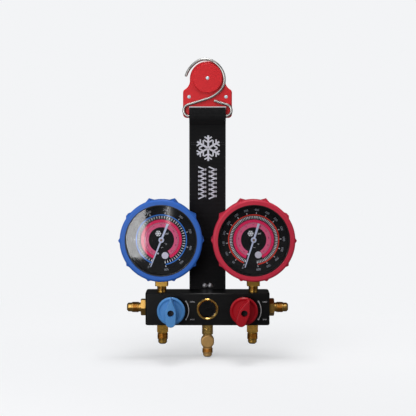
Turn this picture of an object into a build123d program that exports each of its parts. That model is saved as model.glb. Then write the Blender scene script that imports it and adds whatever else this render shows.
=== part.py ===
"""Two-gauge refrigerant manifold on a webbing strap, with a magnetic hanger and a folding hook.

Millimetres. +X is to the right seen from the front, +Y is to the back, +Z is up.
The origin is the centre of the hanging magnet's flat back face.
"""

from build123d import *
import os
from math import acos, cos, degrees, pi, radians, sin, tan

os.makedirs("parts", exist_ok=True)

# ---------------------------------------------------------------- clearances
GAP = 0.3  # between neighbouring faces that aren't a fit
RUNNING = 0.05  # radial, a turning or sliding shaft in its hole
SEAT = 0.02  # radial, a screwed or pressed seat within one body

# ---------------------------------------------------------------- hanger
CUP_RADIUS = 18.6
CUP_DEPTH = 6.0
CUP_WALL = 1.6
MAGNET_POCKET = 3.0  # clears the rivet on the cup's floor
MAGNET_POCKET_DEPTH = 1.2
PLATE_THICKNESS = 7.5
BACKING_THICKNESS = 2.5
HEAD_RADIUS = 19.3
HEAD_DROP = 0.9  # the head's centre lies below the magnet's
SHOULDER_WIDTH = 53.5
SHOULDER_DROP = 11.5
PLATE_DROP = 43.3  # bottom edge below the magnet's centre
PLATE_CORNER = 4.3
FLANK_RADIUS = 11.0
PLATE_EDGE = 1.0
BOSS_RADIUS = 16.4
BOSS_HEIGHT = 3.2
SLOT_DROP = 30.9  # upper edge of the strap's slot
SLOT_HEIGHT = 3.2
RIVET_SHANK = 1.4
RIVET_HEAD = 1.9
RIVET_DOME = 0.8
LOWER_RIVET_X = 20.2
LOWER_RIVET_DROP = 20.3

# ---------------------------------------------------------------- strap
STRAP_WIDTH = 40.0
STRAP_THICKNESS = 2.0
STRAP_SEW_DROP = 6.0  # the two layers meet this far below the plate
STRAP_Y = -12.6  # middle of the hanging webbing
FOOT_DROP = 33.0  # the webbing's end below the block's top

# ---------------------------------------------------------------- hook
WIRE_RADIUS = 1.5
HOOK_BAR_DROP = 41.5
HOOK_BAR_HALF = 19.6  # straight part of the bottom bar, each side of the middle
HOOK_CORNER = 6.4
HOOK_CORNER_TURN = 163.0
HOOK_SHANK = 21.5
HOOK_RETURN = 14.0
HOOK_BENDS = ((34.2, 27.5), (18.0, 56.1), (23.3, 56.6), (17.3, 56.8), (29.2, 36.2))  # radius, turn

# ---------------------------------------------------------------- block
BLOCK_WIDTH = 134.6
BLOCK_DEPTH = 32.0
BLOCK_HEIGHT = 35.2
BLOCK_TOP_DROP = 232.0
BLOCK_CORNER = 3.0
BLOCK_CHAMFER = 1.0
GALLERY_RADIUS = 2.5
GALLERY_DEPTH = 25.0  # behind the block's front face
PASSAGE_RADIUS = 2.0

# ---------------------------------------------------------------- gauges
GAUGE_X = 50.0
GAUGE_LIFT = 57.0  # gauge centre above the block's top
CASE_RADIUS = 40.0
CASE_WALL = 1.0
CASE_BACK = -12.0  # depths are along the gauge's axis, 0 at the stem, + to the front
CASE_FRONT = 12.0
GASKET_THICKNESS = 0.8
LENS_THICKNESS = 2.2
BEZEL_WALL = 1.5
BEZEL_LAP = 4.5
BEZEL_LIP = 1.3
LENS_LAP = 2.2  # of the bezel's lip over the lens
BOOT_WALL = 2.7
BOOT_LAP = 2.6  # of the boot's lip over the bezel
BOOT_BRIM = 8.0
BOOT_TAPER = 1.5
BOOT_FRONT = 20.0
BOOT_BACK = -15.0
BOOT_BACK_OPENING = 29.0
BOOT_EDGE = 2.4
BOOT_BACK_EDGE = 3.5
BLEND = 0.1  # thickness of a hull's flat foot
NUB_COUNT = 10
NUB_CREST = 1.0
NUB_PROUD = 1.6
NUB_BASE = 11.2
NUB_ROOT = 1.9  # depth of the nub's base below the boot's surface
NUB_END = 3.0  # the nubs stop this far short of the boot's two rims
DIAL_FRONT = 7.3
DIAL_THICKNESS = 0.8
DIAL_HOLE = 1.7
POINTER_BACK = 8.7
POINTER_THICKNESS = 0.7
POINTER_TIP = 31.5
POINTER_TAIL = 18.6
POINTER_TIP_WIDTH = 0.9
POINTER_ROOT_WIDTH = 2.0
POINTER_TAIL_WIDTH = 2.5
HUB_RADIUS = 3.0
HUB_FRONT = 10.4
SPINDLE_RADIUS = 1.0
SPINDLE_CAP_RADIUS = 1.35
SPINDLE_CAP = 0.5
ZERO_SCREW_AT = {"low": (4.0, -17.0), "high": (5.1, -16.3)}
ZERO_SCREW_RADIUS = 3.7
ZERO_SCREW_HEAD = 0.9
DIAL_SCREW_AT = {"low": (-3.8, -14.8), "high": (-6.2, -15.5)}
DIAL_SCREW_RADIUS = 1.0
DIAL_SCREW_HEAD = 0.6
SCREW_SLOT = 0.8
POINTER_REST = {"low": 21.8, "high": 17.2}  # degrees, tip left of straight down at rest

# Movement: a sector gear drives the pinion on the pointer's spindle
MODULE = 0.4
PINION_TEETH = 12
SECTOR_WHEEL_TEETH = 96  # as a whole wheel
SECTOR_TEETH = 14
BACKLASH = 0.1
SECTOR_AT_ANGLE = -60.0  # direction of the sector's arbor from the pinion
SECTOR_THICKNESS = 1.2
SECTOR_MID = -1.0
PINION_LENGTH = 3.0
SECTOR_HUB = 2.8
SECTOR_RIM = 2.6
SECTOR_ARM = 2.2
ARBOR_RADIUS = 0.9
TAIL_LENGTH = 4.8
LINK_EYE = 1.7
LINK_PIN = 0.6
LINK_THICKNESS = 0.8
FRAME_BACK = -7.0
FRAME_FRONT = 4.2
FRAME_PLATE = 1.2
PILLAR_RADIUS = 1.5
PILLARS = ((-3.5, 4.8), (17.0, -12.0))
TUBE_RADIUS = 31.0
TUBE_SECTION = (8.0, 2.6)
TUBE_MID = -1.2
TUBE_START = -101.0  # degrees, at the socket
TUBE_SWEEP = 297.0  # clockwise to the tip's pin
TIP_HALF_WIDTH = 2.6
TIP_REACH = (-2.4, 6.6)  # along the tube, from the pin at rest
TIP_FORK = 5.0
TIP_HALF_HEIGHT = 3.0
SOCKET_WIDTH = 14.0
SOCKET_TOP = -24.0
SOCKET_CORNER = 1.0
HEX_TOP = -40.4
HEX_BOTTOM = -50.8
STEM_RADIUS = 4.95
STEM_DEPTH = 9.0  # into the block
STEM_BORE = 1.5

# ---------------------------------------------------------------- valves
VALVE_X = 39.0
VALVE_TURN = {"low": 0.0, "high": -20.0}  # degrees, how far round each knob was left
BONNET_THREAD = 8.0
BONNET_DEPTH = 8.5
BONNET_HEX = 17.0
BONNET_HEX_HEIGHT = 4.0
BONNET_NECK = 6.0
BONNET_NECK_HEIGHT = 4.5
VALVE_SPINDLE = 3.0
VALVE_SPINDLE_FRONT = 14.0
VALVE_SQUARE = 4.2
VALVE_SQUARE_FRONT = 21.0
VALVE_BALL = 2.0
POPPET_RADIUS = 5.94
CHAMBER_RADIUS = 6.0
CHAMBER_FLOOR = -19.0
POPPET_LENGTH = 6.4
POPPET_GAP = 0.1
SEAL_RADIUS = 0.8
VALVE_SEAT_BORE = 2.5
KNOB_RADIUS = 15.0
KNOB_FRONT = 15.0  # front rim of the disc, in front of the block
KNOB_DISC = 5.0
KNOB_SKIRT = 5.5
KNOB_SKIRT_RADIUS = 12.2
KNOB_SKIRT_WALL = 1.8
KNOB_DISH = 0.9
KNOB_RIM = 0.7
KNOB_SLOPE = 1.8  # width of the slope from the rim down to the dished face
KNOB_ROUND = 1.2
RIDGE_HEIGHT = 14.0
RIDGE_HALF = 5.8
RIDGE_APEX = 0.9
RIDGE_HEEL = 5.3
RIDGE_ROUND = 0.8
KNOB_HOLE = 3.5
KNOB_SCREW_HEAD = 3.1
KNOB_SCREW_HEIGHT = 2.4
KNOB_SCREW_SHANK = 1.4
KNOB_SCREW_LENGTH = 6.0

# ---------------------------------------------------------------- sight glass
SIGHT_RING_OUTER = 11.65
SIGHT_RING_INNER = 9.35
SIGHT_RING_PROUD = 1.0
SIGHT_RING_DEPTH = 4.0
SIGHT_GLASS_RADIUS = 10.6
SIGHT_GLASS_THICKNESS = 3.5
SIGHT_SEAL_RADIUS = 0.8
SIGHT_BACKING = 1.2

# ---------------------------------------------------------------- ports
THREAD_RADIUS = 5.55  # 7/16-20 UNF over the crests
FLARE_BORE = 2.4
NOSE_RADIUS = 4.85
NOSE_TIP = 3.3
THREAD_CHAMFER = 0.6
SHANK_RADIUS = 4.8
SHANK_DEPTH = 8.0
NECK_RADIUS = 5.0
SIDE_HEX = 17.0
SIDE_HEX_LENGTH = 5.5
SIDE_NECK = 2.2
SIDE_THREAD = 7.8
SIDE_NOSE = 5.2
LOWER_PORT_X = 49.2
LOWER_HEX = 12.0
LOWER_HEX_LENGTH = 10.0
LOWER_NECK = 1.0
LOWER_THREAD = 7.1
LOWER_NOSE = 4.6
CENTRE_HEX = 10.4
CENTRE_HEX_LENGTH = 12.5
CENTRE_COLLAR = 6.0
CENTRE_COLLAR_AT = 4.6
CENTRE_COLLAR_LENGTH = 2.2
BOSS_HALF_WIDTH = 7.2
BOSS_HALF_HEIGHT = 7.5
BOSS_THICKNESS = 12.0
CENTRE_EDGE = 2.0
CENTRE_THREAD = 5.8
CENTRE_NOSE = 3.8
TAIL_STUB = 1.2

# ---------------------------------------------------------------- strap foot
BRACKET_WIDTH = 36.0
BRACKET_THICKNESS = 2.0
BRACKET_RISE = 8.0  # above the block's top
BRACKET_FALL = 30.0  # below the block's top
STRAP_RIVET_X = 3.0
STRAP_RIVET_RISE = 3.4
STRAP_RIVET_HEAD = 2.9
STRAP_RIVET_DOME = 1.5
STRAP_RIVET_SHANK = 1.5
STRAP_SCREW_X = 12.0
STRAP_SCREW_DROP = 17.0
STRAP_SCREW_SHANK = 2.0
STRAP_SCREW_HEAD = 3.6
STRAP_SCREW_HEIGHT = 2.2
STRAP_SCREW_DEPTH = 8.0

# ---------------------------------------------------------------- derived places
BACKING_BACK = -CUP_DEPTH
PLATE_BACK = BACKING_BACK - BACKING_THICKNESS
PLATE_FRONT = PLATE_BACK - PLATE_THICKNESS
BOSS_FRONT = PLATE_FRONT - BOSS_HEIGHT
HOOK_Y = PLATE_FRONT - GAP - WIRE_RADIUS
BAR_Z = -HOOK_BAR_DROP
BLOCK_BACK = STRAP_Y - STRAP_THICKNESS / 2 - GAP
BLOCK_Y = BLOCK_BACK - BLOCK_DEPTH / 2
BLOCK_FRONT = BLOCK_BACK - BLOCK_DEPTH
BLOCK_TOP = -BLOCK_TOP_DROP
BLOCK_Z = BLOCK_TOP - BLOCK_HEIGHT / 2
BLOCK_BOTTOM = BLOCK_TOP - BLOCK_HEIGHT
GAUGE_Z = BLOCK_TOP + GAUGE_LIFT
SIDES = {"low": -1, "high": 1}


def save(node, shape):
    export_step(shape, f"parts/{node}.step")


def rod(radius, low, high):
    """A cylinder about Z between two heights."""
    return Pos(0, 0, low) * Cylinder(radius, high - low, align=(Align.CENTER, Align.CENTER, Align.MIN))


def slab(x, y, z):
    """A box between two limits on each axis."""
    return Pos(x[0], y[0], z[0]) * Box(
        x[1] - x[0], y[1] - y[0], z[1] - z[0], align=(Align.MIN, Align.MIN, Align.MIN)
    )


def turned(*outline):
    """A solid of revolution about Z from (radius, height) points."""
    edge = Polyline(*[(r, 0, z) for r, z in outline], close=True)
    return revolve(make_face(edge), Axis.Z, 360)


def hexagon(across, low, high, turn=0.0):
    """A hexagonal bar about Z whose corners are chamfered as if turned."""
    outline = RegularPolygon(across / 2, 6, major_radius=False, rotation=turn)
    bar = Pos(0, 0, low) * extrude(outline, high - low)
    corner = across / 2 / cos(pi / 6)
    cut = corner - across / 2
    side = across / 2 + 0.25 * cut
    drop = 0.6 * cut
    ends = ((0, low), (side, low), (corner, low + drop), (corner, high - drop), (side, high), (0, high))
    blank = turned(*ends)
    return bar & blank


def front_frame(x, y, z):
    """A location whose +Z points to the front and whose +Y points up."""
    return Plane(origin=(x, y, z), x_dir=(1, 0, 0), z_dir=(0, -1, 0)).location


def down_frame(x):
    """A location on the block's lower face whose +Z points down and whose +Y points to the front."""
    return Plane(origin=(x, BLOCK_Y, BLOCK_BOTTOM), x_dir=(1, 0, 0), z_dir=(0, 0, -1)).location


def side_frame(side):
    """A location on the block's end face whose +Z points outwards."""
    end = (side * BLOCK_WIDTH / 2, BLOCK_Y, BLOCK_Z)
    return Plane(origin=end, x_dir=(0, 1, 0), z_dir=(side, 0, 0)).location


# ================================================================ hanger
def hanger_outline():
    """Round head on square shoulders, joined by hollow flanks, in the XY plane."""
    low_height = PLATE_DROP - SHOULDER_DROP
    head = Vector(0, -HEAD_DROP)
    outline = Pos(0, -SHOULDER_DROP - low_height / 2) * Rectangle(SHOULDER_WIDTH, low_height)
    outline = fillet(outline.vertices(), PLATE_CORNER) + Pos(*head) * Circle(HEAD_RADIUS)
    shoulder = Vector(SHOULDER_WIDTH / 2 - PLATE_CORNER, -SHOULDER_DROP - PLATE_CORNER)
    span = shoulder - head
    reach_head = HEAD_RADIUS + FLANK_RADIUS
    reach_shoulder = PLATE_CORNER + FLANK_RADIUS
    along = (reach_head**2 - reach_shoulder**2 + span.length**2) / (2 * span.length)
    aside = (reach_head**2 - along**2) ** 0.5
    unit = span.normalized()
    flank = head + unit * along + Vector(-unit.Y, unit.X) * aside
    for side in SIDES.values():
        corners = [(side * p.X, p.Y) for p in (head, shoulder, flank)]
        outline += make_face(Polyline(*corners, close=True))
        outline -= Pos(side * flank.X, flank.Y) * Circle(FLANK_RADIUS)
    return outline


def hanger_plate():
    face = front_frame(0, PLATE_BACK, 0)
    plate = extrude(hanger_outline(), PLATE_THICKNESS)
    plate = chamfer(plate.faces().sort_by(Axis.Z)[-1].outer_wire().edges(), PLATE_EDGE)
    crown = BOSS_HEIGHT - PLATE_EDGE
    boss = turned(
        (0, 0),
        (BOSS_RADIUS, 0),
        (BOSS_RADIUS, crown),
        (BOSS_RADIUS - PLATE_EDGE, BOSS_HEIGHT),
        (0, BOSS_HEIGHT),
    )
    plate += Pos(0, 0, PLATE_THICKNESS) * boss
    slot_half = STRAP_WIDTH / 2 + GAP
    plate -= slab(
        (-slot_half, slot_half), (-SLOT_DROP - SLOT_HEIGHT, -SLOT_DROP), (-1, PLATE_THICKNESS + 1)
    )
    return face * (plate - rivet_holes(-1, PLATE_THICKNESS + BOSS_HEIGHT + 1))


def rivet_holes(low, high):
    spots = ((0, 0), (-LOWER_RIVET_X, -LOWER_RIVET_DROP), (LOWER_RIVET_X, -LOWER_RIVET_DROP))
    return [Pos(x, y) * rod(RIVET_SHANK + SEAT, low, high) for x, y in spots]


def hanger_back():
    """Thin backing of the plate's outline, between the plate and the magnet's cup."""
    backing = extrude(hanger_outline(), BACKING_THICKNESS)
    slot_half = STRAP_WIDTH / 2 + GAP
    backing -= slab(
        (-slot_half, slot_half), (-SLOT_DROP - SLOT_HEIGHT, -SLOT_DROP), (-1, BACKING_THICKNESS + 1)
    )
    return front_frame(0, BACKING_BACK, 0) * (backing - rivet_holes(-1, BACKING_THICKNESS + 1))


def dome(radius, height, base):
    """A shallow domed head that stands on the given height."""
    sphere = (radius**2 + height**2) / (2 * height)
    cap = Pos(0, 0, base + height - sphere) * Sphere(sphere)
    return cap & rod(radius, base, base + height)


def hanger_rivets():
    """One rivet through the boss and the magnet's cup, and one at each shoulder."""
    depth = PLATE_THICKNESS + BACKING_THICKNESS
    front = depth + BOSS_HEIGHT
    centre = rod(RIVET_SHANK, -CUP_WALL - RIVET_DOME, front) + dome(RIVET_HEAD, RIVET_DOME, front)
    centre += rod(RIVET_HEAD, -CUP_WALL - RIVET_DOME, -CUP_WALL)
    group = [centre]
    for x in (-LOWER_RIVET_X, LOWER_RIVET_X):
        low = rod(RIVET_SHANK, 0, depth) + dome(RIVET_HEAD, RIVET_DOME, depth)
        low += rod(RIVET_HEAD, -RIVET_DOME, 0)
        group.append(Pos(x, -LOWER_RIVET_DROP) * low)
    return front_frame(0, BACKING_BACK, 0) * Compound([part.solid() for part in group])


def magnet_cup():
    """Steel pot, open to the back, whose floor lies on the plate."""
    inner = CUP_RADIUS - CUP_WALL
    pot = turned(
        (RIVET_SHANK + SEAT, CUP_DEPTH),
        (CUP_RADIUS - PLATE_EDGE, CUP_DEPTH),
        (CUP_RADIUS, CUP_DEPTH - PLATE_EDGE),
        (CUP_RADIUS, 0),
        (inner, 0),
        (inner, CUP_DEPTH - CUP_WALL),
        (RIVET_SHANK + SEAT, CUP_DEPTH - CUP_WALL),
    )
    return front_frame(0, 0, 0) * pot


def magnet():
    """Disc magnet, flush with the cup's rim, pocketed over the rivet's head."""
    thickness = CUP_DEPTH - CUP_WALL
    disc = rod(CUP_RADIUS - CUP_WALL - SEAT, 0, thickness)
    disc -= rod(MAGNET_POCKET, thickness - MAGNET_POCKET_DEPTH, CUP_DEPTH)
    return front_frame(0, 0, 0) * disc


# ================================================================ strap
SLOT_MID = -SLOT_DROP - SLOT_HEIGHT / 2
LOOP_TOP = SLOT_MID - STRAP_THICKNESS / 2
LOOP_FRONT = HOOK_Y - WIRE_RADIUS - GAP
LOOP_BACK = BACKING_BACK + GAP
SEW_Z = -PLATE_DROP - STRAP_SEW_DROP
SWING_Z = SEW_Z - STRAP_THICKNESS - GAP - STRAP_THICKNESS / 2


def strap_loop():
    """Closed band through the slot, round the plate's web and the hook's bar, sewn below them."""
    hollow = make_face(
        Polyline(
            (LOOP_BACK, LOOP_TOP),
            (LOOP_FRONT, LOOP_TOP),
            (LOOP_FRONT, BAR_Z - WIRE_RADIUS - GAP),
            (STRAP_Y, SEW_Z),
            (LOOP_BACK, -PLATE_DROP - 2 * GAP),
            close=True,
        )
    )
    band = offset(hollow, STRAP_THICKNESS) - hollow
    return Pos(-STRAP_WIDTH / 2, 0, 0) * (Plane.YZ * extrude(band, STRAP_WIDTH))


def foot_holes(radius_rivet, radius_screw, low, high):
    """The foot's rivet and screw holes as cutters, between two depths on Y."""
    cut = Part()
    for side in SIDES.values():
        for x, z, radius in (
            (STRAP_RIVET_X, BLOCK_TOP + STRAP_RIVET_RISE, radius_rivet),
            (STRAP_SCREW_X, BLOCK_TOP - STRAP_SCREW_DROP, radius_screw),
        ):
            cut += front_frame(side * x, high, z) * rod(radius, 0, high - low)
    return cut


def strap_webbing():
    """The hanging webbing, from the swing line down the block's back."""
    half = STRAP_THICKNESS / 2
    low = BLOCK_TOP - FOOT_DROP
    web = slab((-STRAP_WIDTH / 2, STRAP_WIDTH / 2), (STRAP_Y - half, STRAP_Y + half), (low, SWING_Z))
    top = Pos(0, STRAP_Y, SWING_Z) * Rotation(0, 90, 0) * Cylinder(half, STRAP_WIDTH)
    holes = foot_holes(STRAP_RIVET_SHANK + SEAT, STRAP_SCREW_SHANK + SEAT, STRAP_Y - 5, STRAP_Y + 5)
    return web + top - holes


BRACKET_FRONT = STRAP_Y + STRAP_THICKNESS / 2
BRACKET_BACK = BRACKET_FRONT + BRACKET_THICKNESS


def strap_bracket():
    plate = slab(
        (-BRACKET_WIDTH / 2, BRACKET_WIDTH / 2),
        (BRACKET_FRONT, BRACKET_BACK),
        (BLOCK_TOP - BRACKET_FALL, BLOCK_TOP + BRACKET_RISE),
    )
    plate = fillet(plate.edges().filter_by(Axis.Y), 3.0)
    return plate - foot_holes(
        STRAP_RIVET_SHANK + SEAT, STRAP_SCREW_SHANK + SEAT, BRACKET_FRONT - 1, BRACKET_BACK + 1
    )


def strap_rivets():
    """Two domed rivets side by side, just above the block."""
    grip = STRAP_THICKNESS + BRACKET_THICKNESS
    rivet = rod(STRAP_RIVET_SHANK, 0, grip) + rod(STRAP_RIVET_HEAD, -0.8, 0)
    rivet += dome(STRAP_RIVET_HEAD, STRAP_RIVET_DOME, grip)
    z = BLOCK_TOP + STRAP_RIVET_RISE
    return Compound([front_frame(s * STRAP_RIVET_X, BRACKET_BACK, z) * rivet.solid() for s in SIDES.values()])


def strap_screws():
    """Two button-head screws through bracket and webbing into the block's back."""
    reach = BRACKET_BACK - BLOCK_BACK + STRAP_SCREW_DEPTH
    screw = rod(STRAP_SCREW_SHANK, 0, reach)
    head = Rotation(180, 0, 0) * dome(STRAP_SCREW_HEAD, STRAP_SCREW_HEIGHT, 0)
    socket = Pos(0, 0, -STRAP_SCREW_HEIGHT) * extrude(RegularPolygon(1.25, 6, major_radius=False), 1.3)
    screw = screw + head - socket
    z = BLOCK_TOP - STRAP_SCREW_DROP
    return Compound([front_frame(s * STRAP_SCREW_X, BRACKET_BACK, z) * screw.solid() for s in SIDES.values()])


# ================================================================ hook
def hook():
    """One bent wire: bar, corner, shank and bow to the left, corner and return to the right."""
    left = Line((0, 0), (-HOOK_BAR_HALF, 0))
    corner = JernArc(left @ 1, left % 1, HOOK_CORNER, -HOOK_CORNER_TURN)
    path = [left, corner, Line(corner @ 1, (corner @ 1) + (corner % 1) * HOOK_SHANK)]
    for radius, turn in HOOK_BENDS:
        path.append(JernArc(path[-1] @ 1, path[-1] % 1, radius, turn))
    right = Line((0, 0), (HOOK_BAR_HALF, 0))
    back = JernArc(right @ 1, right % 1, HOOK_CORNER, HOOK_CORNER_TURN)
    back_run = Line(back @ 1, (back @ 1) + (back % 1) * HOOK_RETURN)
    halves = []
    for run in (path, [right, back, back_run]):
        wire = Wire([piece.edge() for piece in run])
        start = Plane(origin=wire @ 0, z_dir=wire % 0)
        halves.append(sweep(start * Circle(WIRE_RADIUS), path=wire))
        tip = wire @ 1
        halves.append(Pos(tip.X, tip.Y, tip.Z) * Sphere(WIRE_RADIUS))
    wire_form = halves[0] + halves[1] + halves[2] + halves[3]
    return front_frame(0, HOOK_Y, BAR_Z) * wire_form


# ================================================================ ports
def flare_fitting(across, hex_length, neck, thread, nose, turn, shank=SHANK_DEPTH):
    """Hexagon, neck, flare thread and nose along +Z from the block's face, with a shank into it."""
    start = hex_length + neck
    end = start + thread
    tip = end + nose
    cone = NOSE_RADIUS - NOSE_TIP
    body = turned(
        (FLARE_BORE, -shank),
        (SHANK_RADIUS, -shank),
        (SHANK_RADIUS, 0),
        (NECK_RADIUS, 0),
        (NECK_RADIUS, start),
        (THREAD_RADIUS - THREAD_CHAMFER, start),
        (THREAD_RADIUS, start + THREAD_CHAMFER),
        (THREAD_RADIUS, end - THREAD_CHAMFER),
        (THREAD_RADIUS - THREAD_CHAMFER, end),
        (NOSE_RADIUS, end),
        (NOSE_RADIUS, tip - cone),
        (NOSE_TIP, tip),
        (FLARE_BORE, tip),
    )
    return body + (hexagon(across, 0, hex_length, turn) - rod(FLARE_BORE, -1, tip))


def side_ports():
    """Left fitting with a flat upwards, right fitting with a corner upwards."""
    group = []
    for side, turn in ((-1, 0.0), (1, 30.0)):
        fitting = flare_fitting(SIDE_HEX, SIDE_HEX_LENGTH, SIDE_NECK, SIDE_THREAD, SIDE_NOSE, turn)
        group.append((side_frame(side) * fitting).solid())
    return Compound(group)


def lower_ports():
    """Two fittings below, under the gauges, with a flat to the front."""
    fitting = flare_fitting(LOWER_HEX, LOWER_HEX_LENGTH, LOWER_NECK, LOWER_THREAD, LOWER_NOSE, 30.0)
    return Compound([(down_frame(s * LOWER_PORT_X) * fitting).solid() for s in SIDES.values()])


def centre_neck():
    """Hexagonal neck with a turned collar, a corner to the front."""
    neck = hexagon(CENTRE_HEX, 0, CENTRE_HEX_LENGTH, 0.0)
    neck += rod(CENTRE_COLLAR, CENTRE_COLLAR_AT, CENTRE_COLLAR_AT + CENTRE_COLLAR_LENGTH)
    neck += rod(SHANK_RADIUS - 0.6, -SHANK_DEPTH, 0)
    neck -= rod(FLARE_BORE, -SHANK_DEPTH - 1, CENTRE_HEX_LENGTH + 1)
    return down_frame(0) * neck


def centre_body():
    """Forged round boss, flat to the front, over the flare thread and nose."""
    middle = CENTRE_HEX_LENGTH + BOSS_HALF_HEIGHT
    squeeze = BOSS_HALF_HEIGHT - BOSS_HALF_WIDTH
    outline = Pos(0, squeeze) * Circle(BOSS_HALF_WIDTH) + Pos(0, -squeeze) * Circle(BOSS_HALF_WIDTH)
    boss = extrude(make_hull(outline.edges()), BOSS_THICKNESS / 2, both=True)
    straight = boss.edges().filter_by(GeomType.LINE).filter_by(Axis.Y)
    boss = fillet(boss.edges().filter_by(GeomType.CIRCLE) + straight, CENTRE_EDGE)
    boss = Pos(0, 0, middle) * (Rotation(90, 0, 0) * boss)
    start = CENTRE_HEX_LENGTH + 2 * BOSS_HALF_HEIGHT - TAIL_STUB
    end = start + TAIL_STUB + CENTRE_THREAD
    tip = end + CENTRE_NOSE
    cone = NOSE_RADIUS - NOSE_TIP
    tail = turned(
        (0, middle),
        (NECK_RADIUS, middle),
        (NECK_RADIUS, start + TAIL_STUB),
        (THREAD_RADIUS, start + TAIL_STUB + THREAD_CHAMFER),
        (THREAD_RADIUS, end - THREAD_CHAMFER),
        (THREAD_RADIUS - THREAD_CHAMFER, end),
        (NOSE_RADIUS, end),
        (NOSE_RADIUS, tip - cone),
        (NOSE_TIP, tip),
        (0, tip),
    )
    top = rod(NECK_RADIUS, CENTRE_HEX_LENGTH, middle)
    body = boss + tail + top - rod(FLARE_BORE, CENTRE_HEX_LENGTH - 1, tip + 1)
    return down_frame(0) * body


# ================================================================ gauges
CASE_INNER = CASE_RADIUS - CASE_WALL
LENS_BACK = CASE_FRONT + GASKET_THICKNESS
LENS_FRONT = LENS_BACK + LENS_THICKNESS
BEZEL_RADIUS = CASE_RADIUS + BEZEL_WALL
WINDOW_RADIUS = CASE_RADIUS - LENS_LAP
BEZEL_FRONT = LENS_FRONT + BEZEL_LIP
BOOT_INNER = BEZEL_RADIUS + GAP
BOOT_RADIUS = BOOT_INNER + BOOT_WALL
BOOT_OPENING = BEZEL_RADIUS - BOOT_LAP
SOCKET_BACK = FRAME_BACK + FRAME_PLATE
SOCKET_FRONT = FRAME_FRONT - FRAME_PLATE
PINION_PITCH = MODULE * PINION_TEETH / 2
SECTOR_PITCH = MODULE * SECTOR_WHEEL_TEETH / 2
CENTRES = PINION_PITCH + SECTOR_PITCH
SECTOR_X = CENTRES * cos(radians(SECTOR_AT_ANGLE))
SECTOR_Y = CENTRES * sin(radians(SECTOR_AT_ANGLE))
TO_PINION = SECTOR_AT_ANGLE + 180.0
TOOTH_STEP = 360.0 / SECTOR_WHEEL_TEETH
POINTER_TRAVEL = 300.0
SECTOR_TRAVEL = POINTER_TRAVEL * PINION_TEETH / SECTOR_WHEEL_TEETH
TAIL_DIRECTION = TO_PINION - SECTOR_TRAVEL / 2 + 180.0
TAIL_X = SECTOR_X + TAIL_LENGTH * cos(radians(TAIL_DIRECTION))
TAIL_Y = SECTOR_Y + TAIL_LENGTH * sin(radians(TAIL_DIRECTION))
TIP_ANGLE = TUBE_START - TUBE_SWEEP
TIP_X = TUBE_RADIUS * cos(radians(TIP_ANGLE))
TIP_Y = TUBE_RADIUS * sin(radians(TIP_ANGLE))
LINK_BACK = SECTOR_MID + SECTOR_THICKNESS / 2 + 2 * RUNNING


def polar(radius, angle):
    return (radius * cos(radians(angle)), radius * sin(radians(angle)))


def gauge_frame(side):
    return front_frame(side * GAUGE_X, BLOCK_Y, GAUGE_Z)


def boot():
    """Rubber cup with a rounded front lip, ten nubs and an opening for the stem."""
    shell = turned(
        (BOOT_BACK_OPENING, BOOT_BACK),
        (BOOT_RADIUS - BOOT_TAPER, BOOT_BACK),
        (BOOT_RADIUS, BOOT_FRONT - BOOT_BRIM),
        (BOOT_RADIUS, BOOT_FRONT),
        (BOOT_OPENING, BOOT_FRONT),
        (BOOT_OPENING, BEZEL_FRONT + GAP),
        (BOOT_INNER, BEZEL_FRONT + GAP),
        (BOOT_INNER, CASE_FRONT - BEZEL_LAP - GAP),
        (CASE_RADIUS + GAP, CASE_FRONT - BEZEL_LAP - GAP),
        (CASE_RADIUS + GAP, CASE_BACK - GAP),
        (BOOT_BACK_OPENING, CASE_BACK - GAP),
    )
    front = [e for e in shell.edges().filter_by(GeomType.CIRCLE) if abs(e.center().Z - BOOT_FRONT) < 0.01]
    outer = [e for e in front if e.radius > BOOT_RADIUS - 0.1]
    shell = fillet(outer, min(BOOT_EDGE, (BOOT_RADIUS - BOOT_OPENING) / 2))
    back = [e for e in shell.edges().filter_by(GeomType.CIRCLE) if abs(e.center().Z - BOOT_BACK) < 0.01]
    back_outer = [e for e in back if e.radius > BOOT_BACK_OPENING + 5]
    shell = fillet(back_outer, min(BOOT_BACK_EDGE, BOOT_WALL))
    low, high = BOOT_BACK + NUB_END, BOOT_FRONT - NUB_END
    crest = Pos(BOOT_RADIUS + NUB_PROUD - NUB_CREST, 0) * Circle(NUB_CREST)
    base = Pos(BOOT_RADIUS - NUB_ROOT, 0) * Rectangle(BLEND, NUB_BASE)
    nub = Pos(0, 0, low) * extrude(make_hull((crest + base).edges()), high - low)
    for n in range(NUB_COUNT):
        shell += Rotation(0, 0, n * 360 / NUB_COUNT) * nub
    half = SOCKET_WIDTH / 2 + 2 * GAP
    shell -= slab((-half, half), (-BOOT_RADIUS - 5, -CASE_RADIUS + 3), (-half, half))
    return shell


def case():
    shell = turned(
        (0, CASE_BACK),
        (CASE_RADIUS - 1.5, CASE_BACK),
        (CASE_RADIUS, CASE_BACK + 1.5),
        (CASE_RADIUS, CASE_FRONT),
        (CASE_INNER, CASE_FRONT),
        (CASE_INNER, CASE_BACK + CASE_WALL + 1.0),
        (CASE_INNER - 1.0, CASE_BACK + CASE_WALL),
        (0, CASE_BACK + CASE_WALL),
    )
    half = SOCKET_WIDTH / 2 + SEAT
    depth = (SOCKET_BACK - SEAT, SOCKET_FRONT + SEAT)
    return shell - slab((-half, half), (-CASE_RADIUS - 1, -CASE_INNER + 3), depth)


def bezel():
    return turned(
        (CASE_RADIUS + SEAT, CASE_FRONT - BEZEL_LAP),
        (BEZEL_RADIUS, CASE_FRONT - BEZEL_LAP),
        (BEZEL_RADIUS, BEZEL_FRONT),
        (WINDOW_RADIUS, BEZEL_FRONT),
        (WINDOW_RADIUS, LENS_FRONT),
        (CASE_RADIUS + SEAT, LENS_FRONT),
    )


def lens():
    return turned(
        (0, LENS_BACK), (CASE_RADIUS, LENS_BACK), (CASE_RADIUS, LENS_FRONT), (0, LENS_FRONT)
    )


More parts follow.
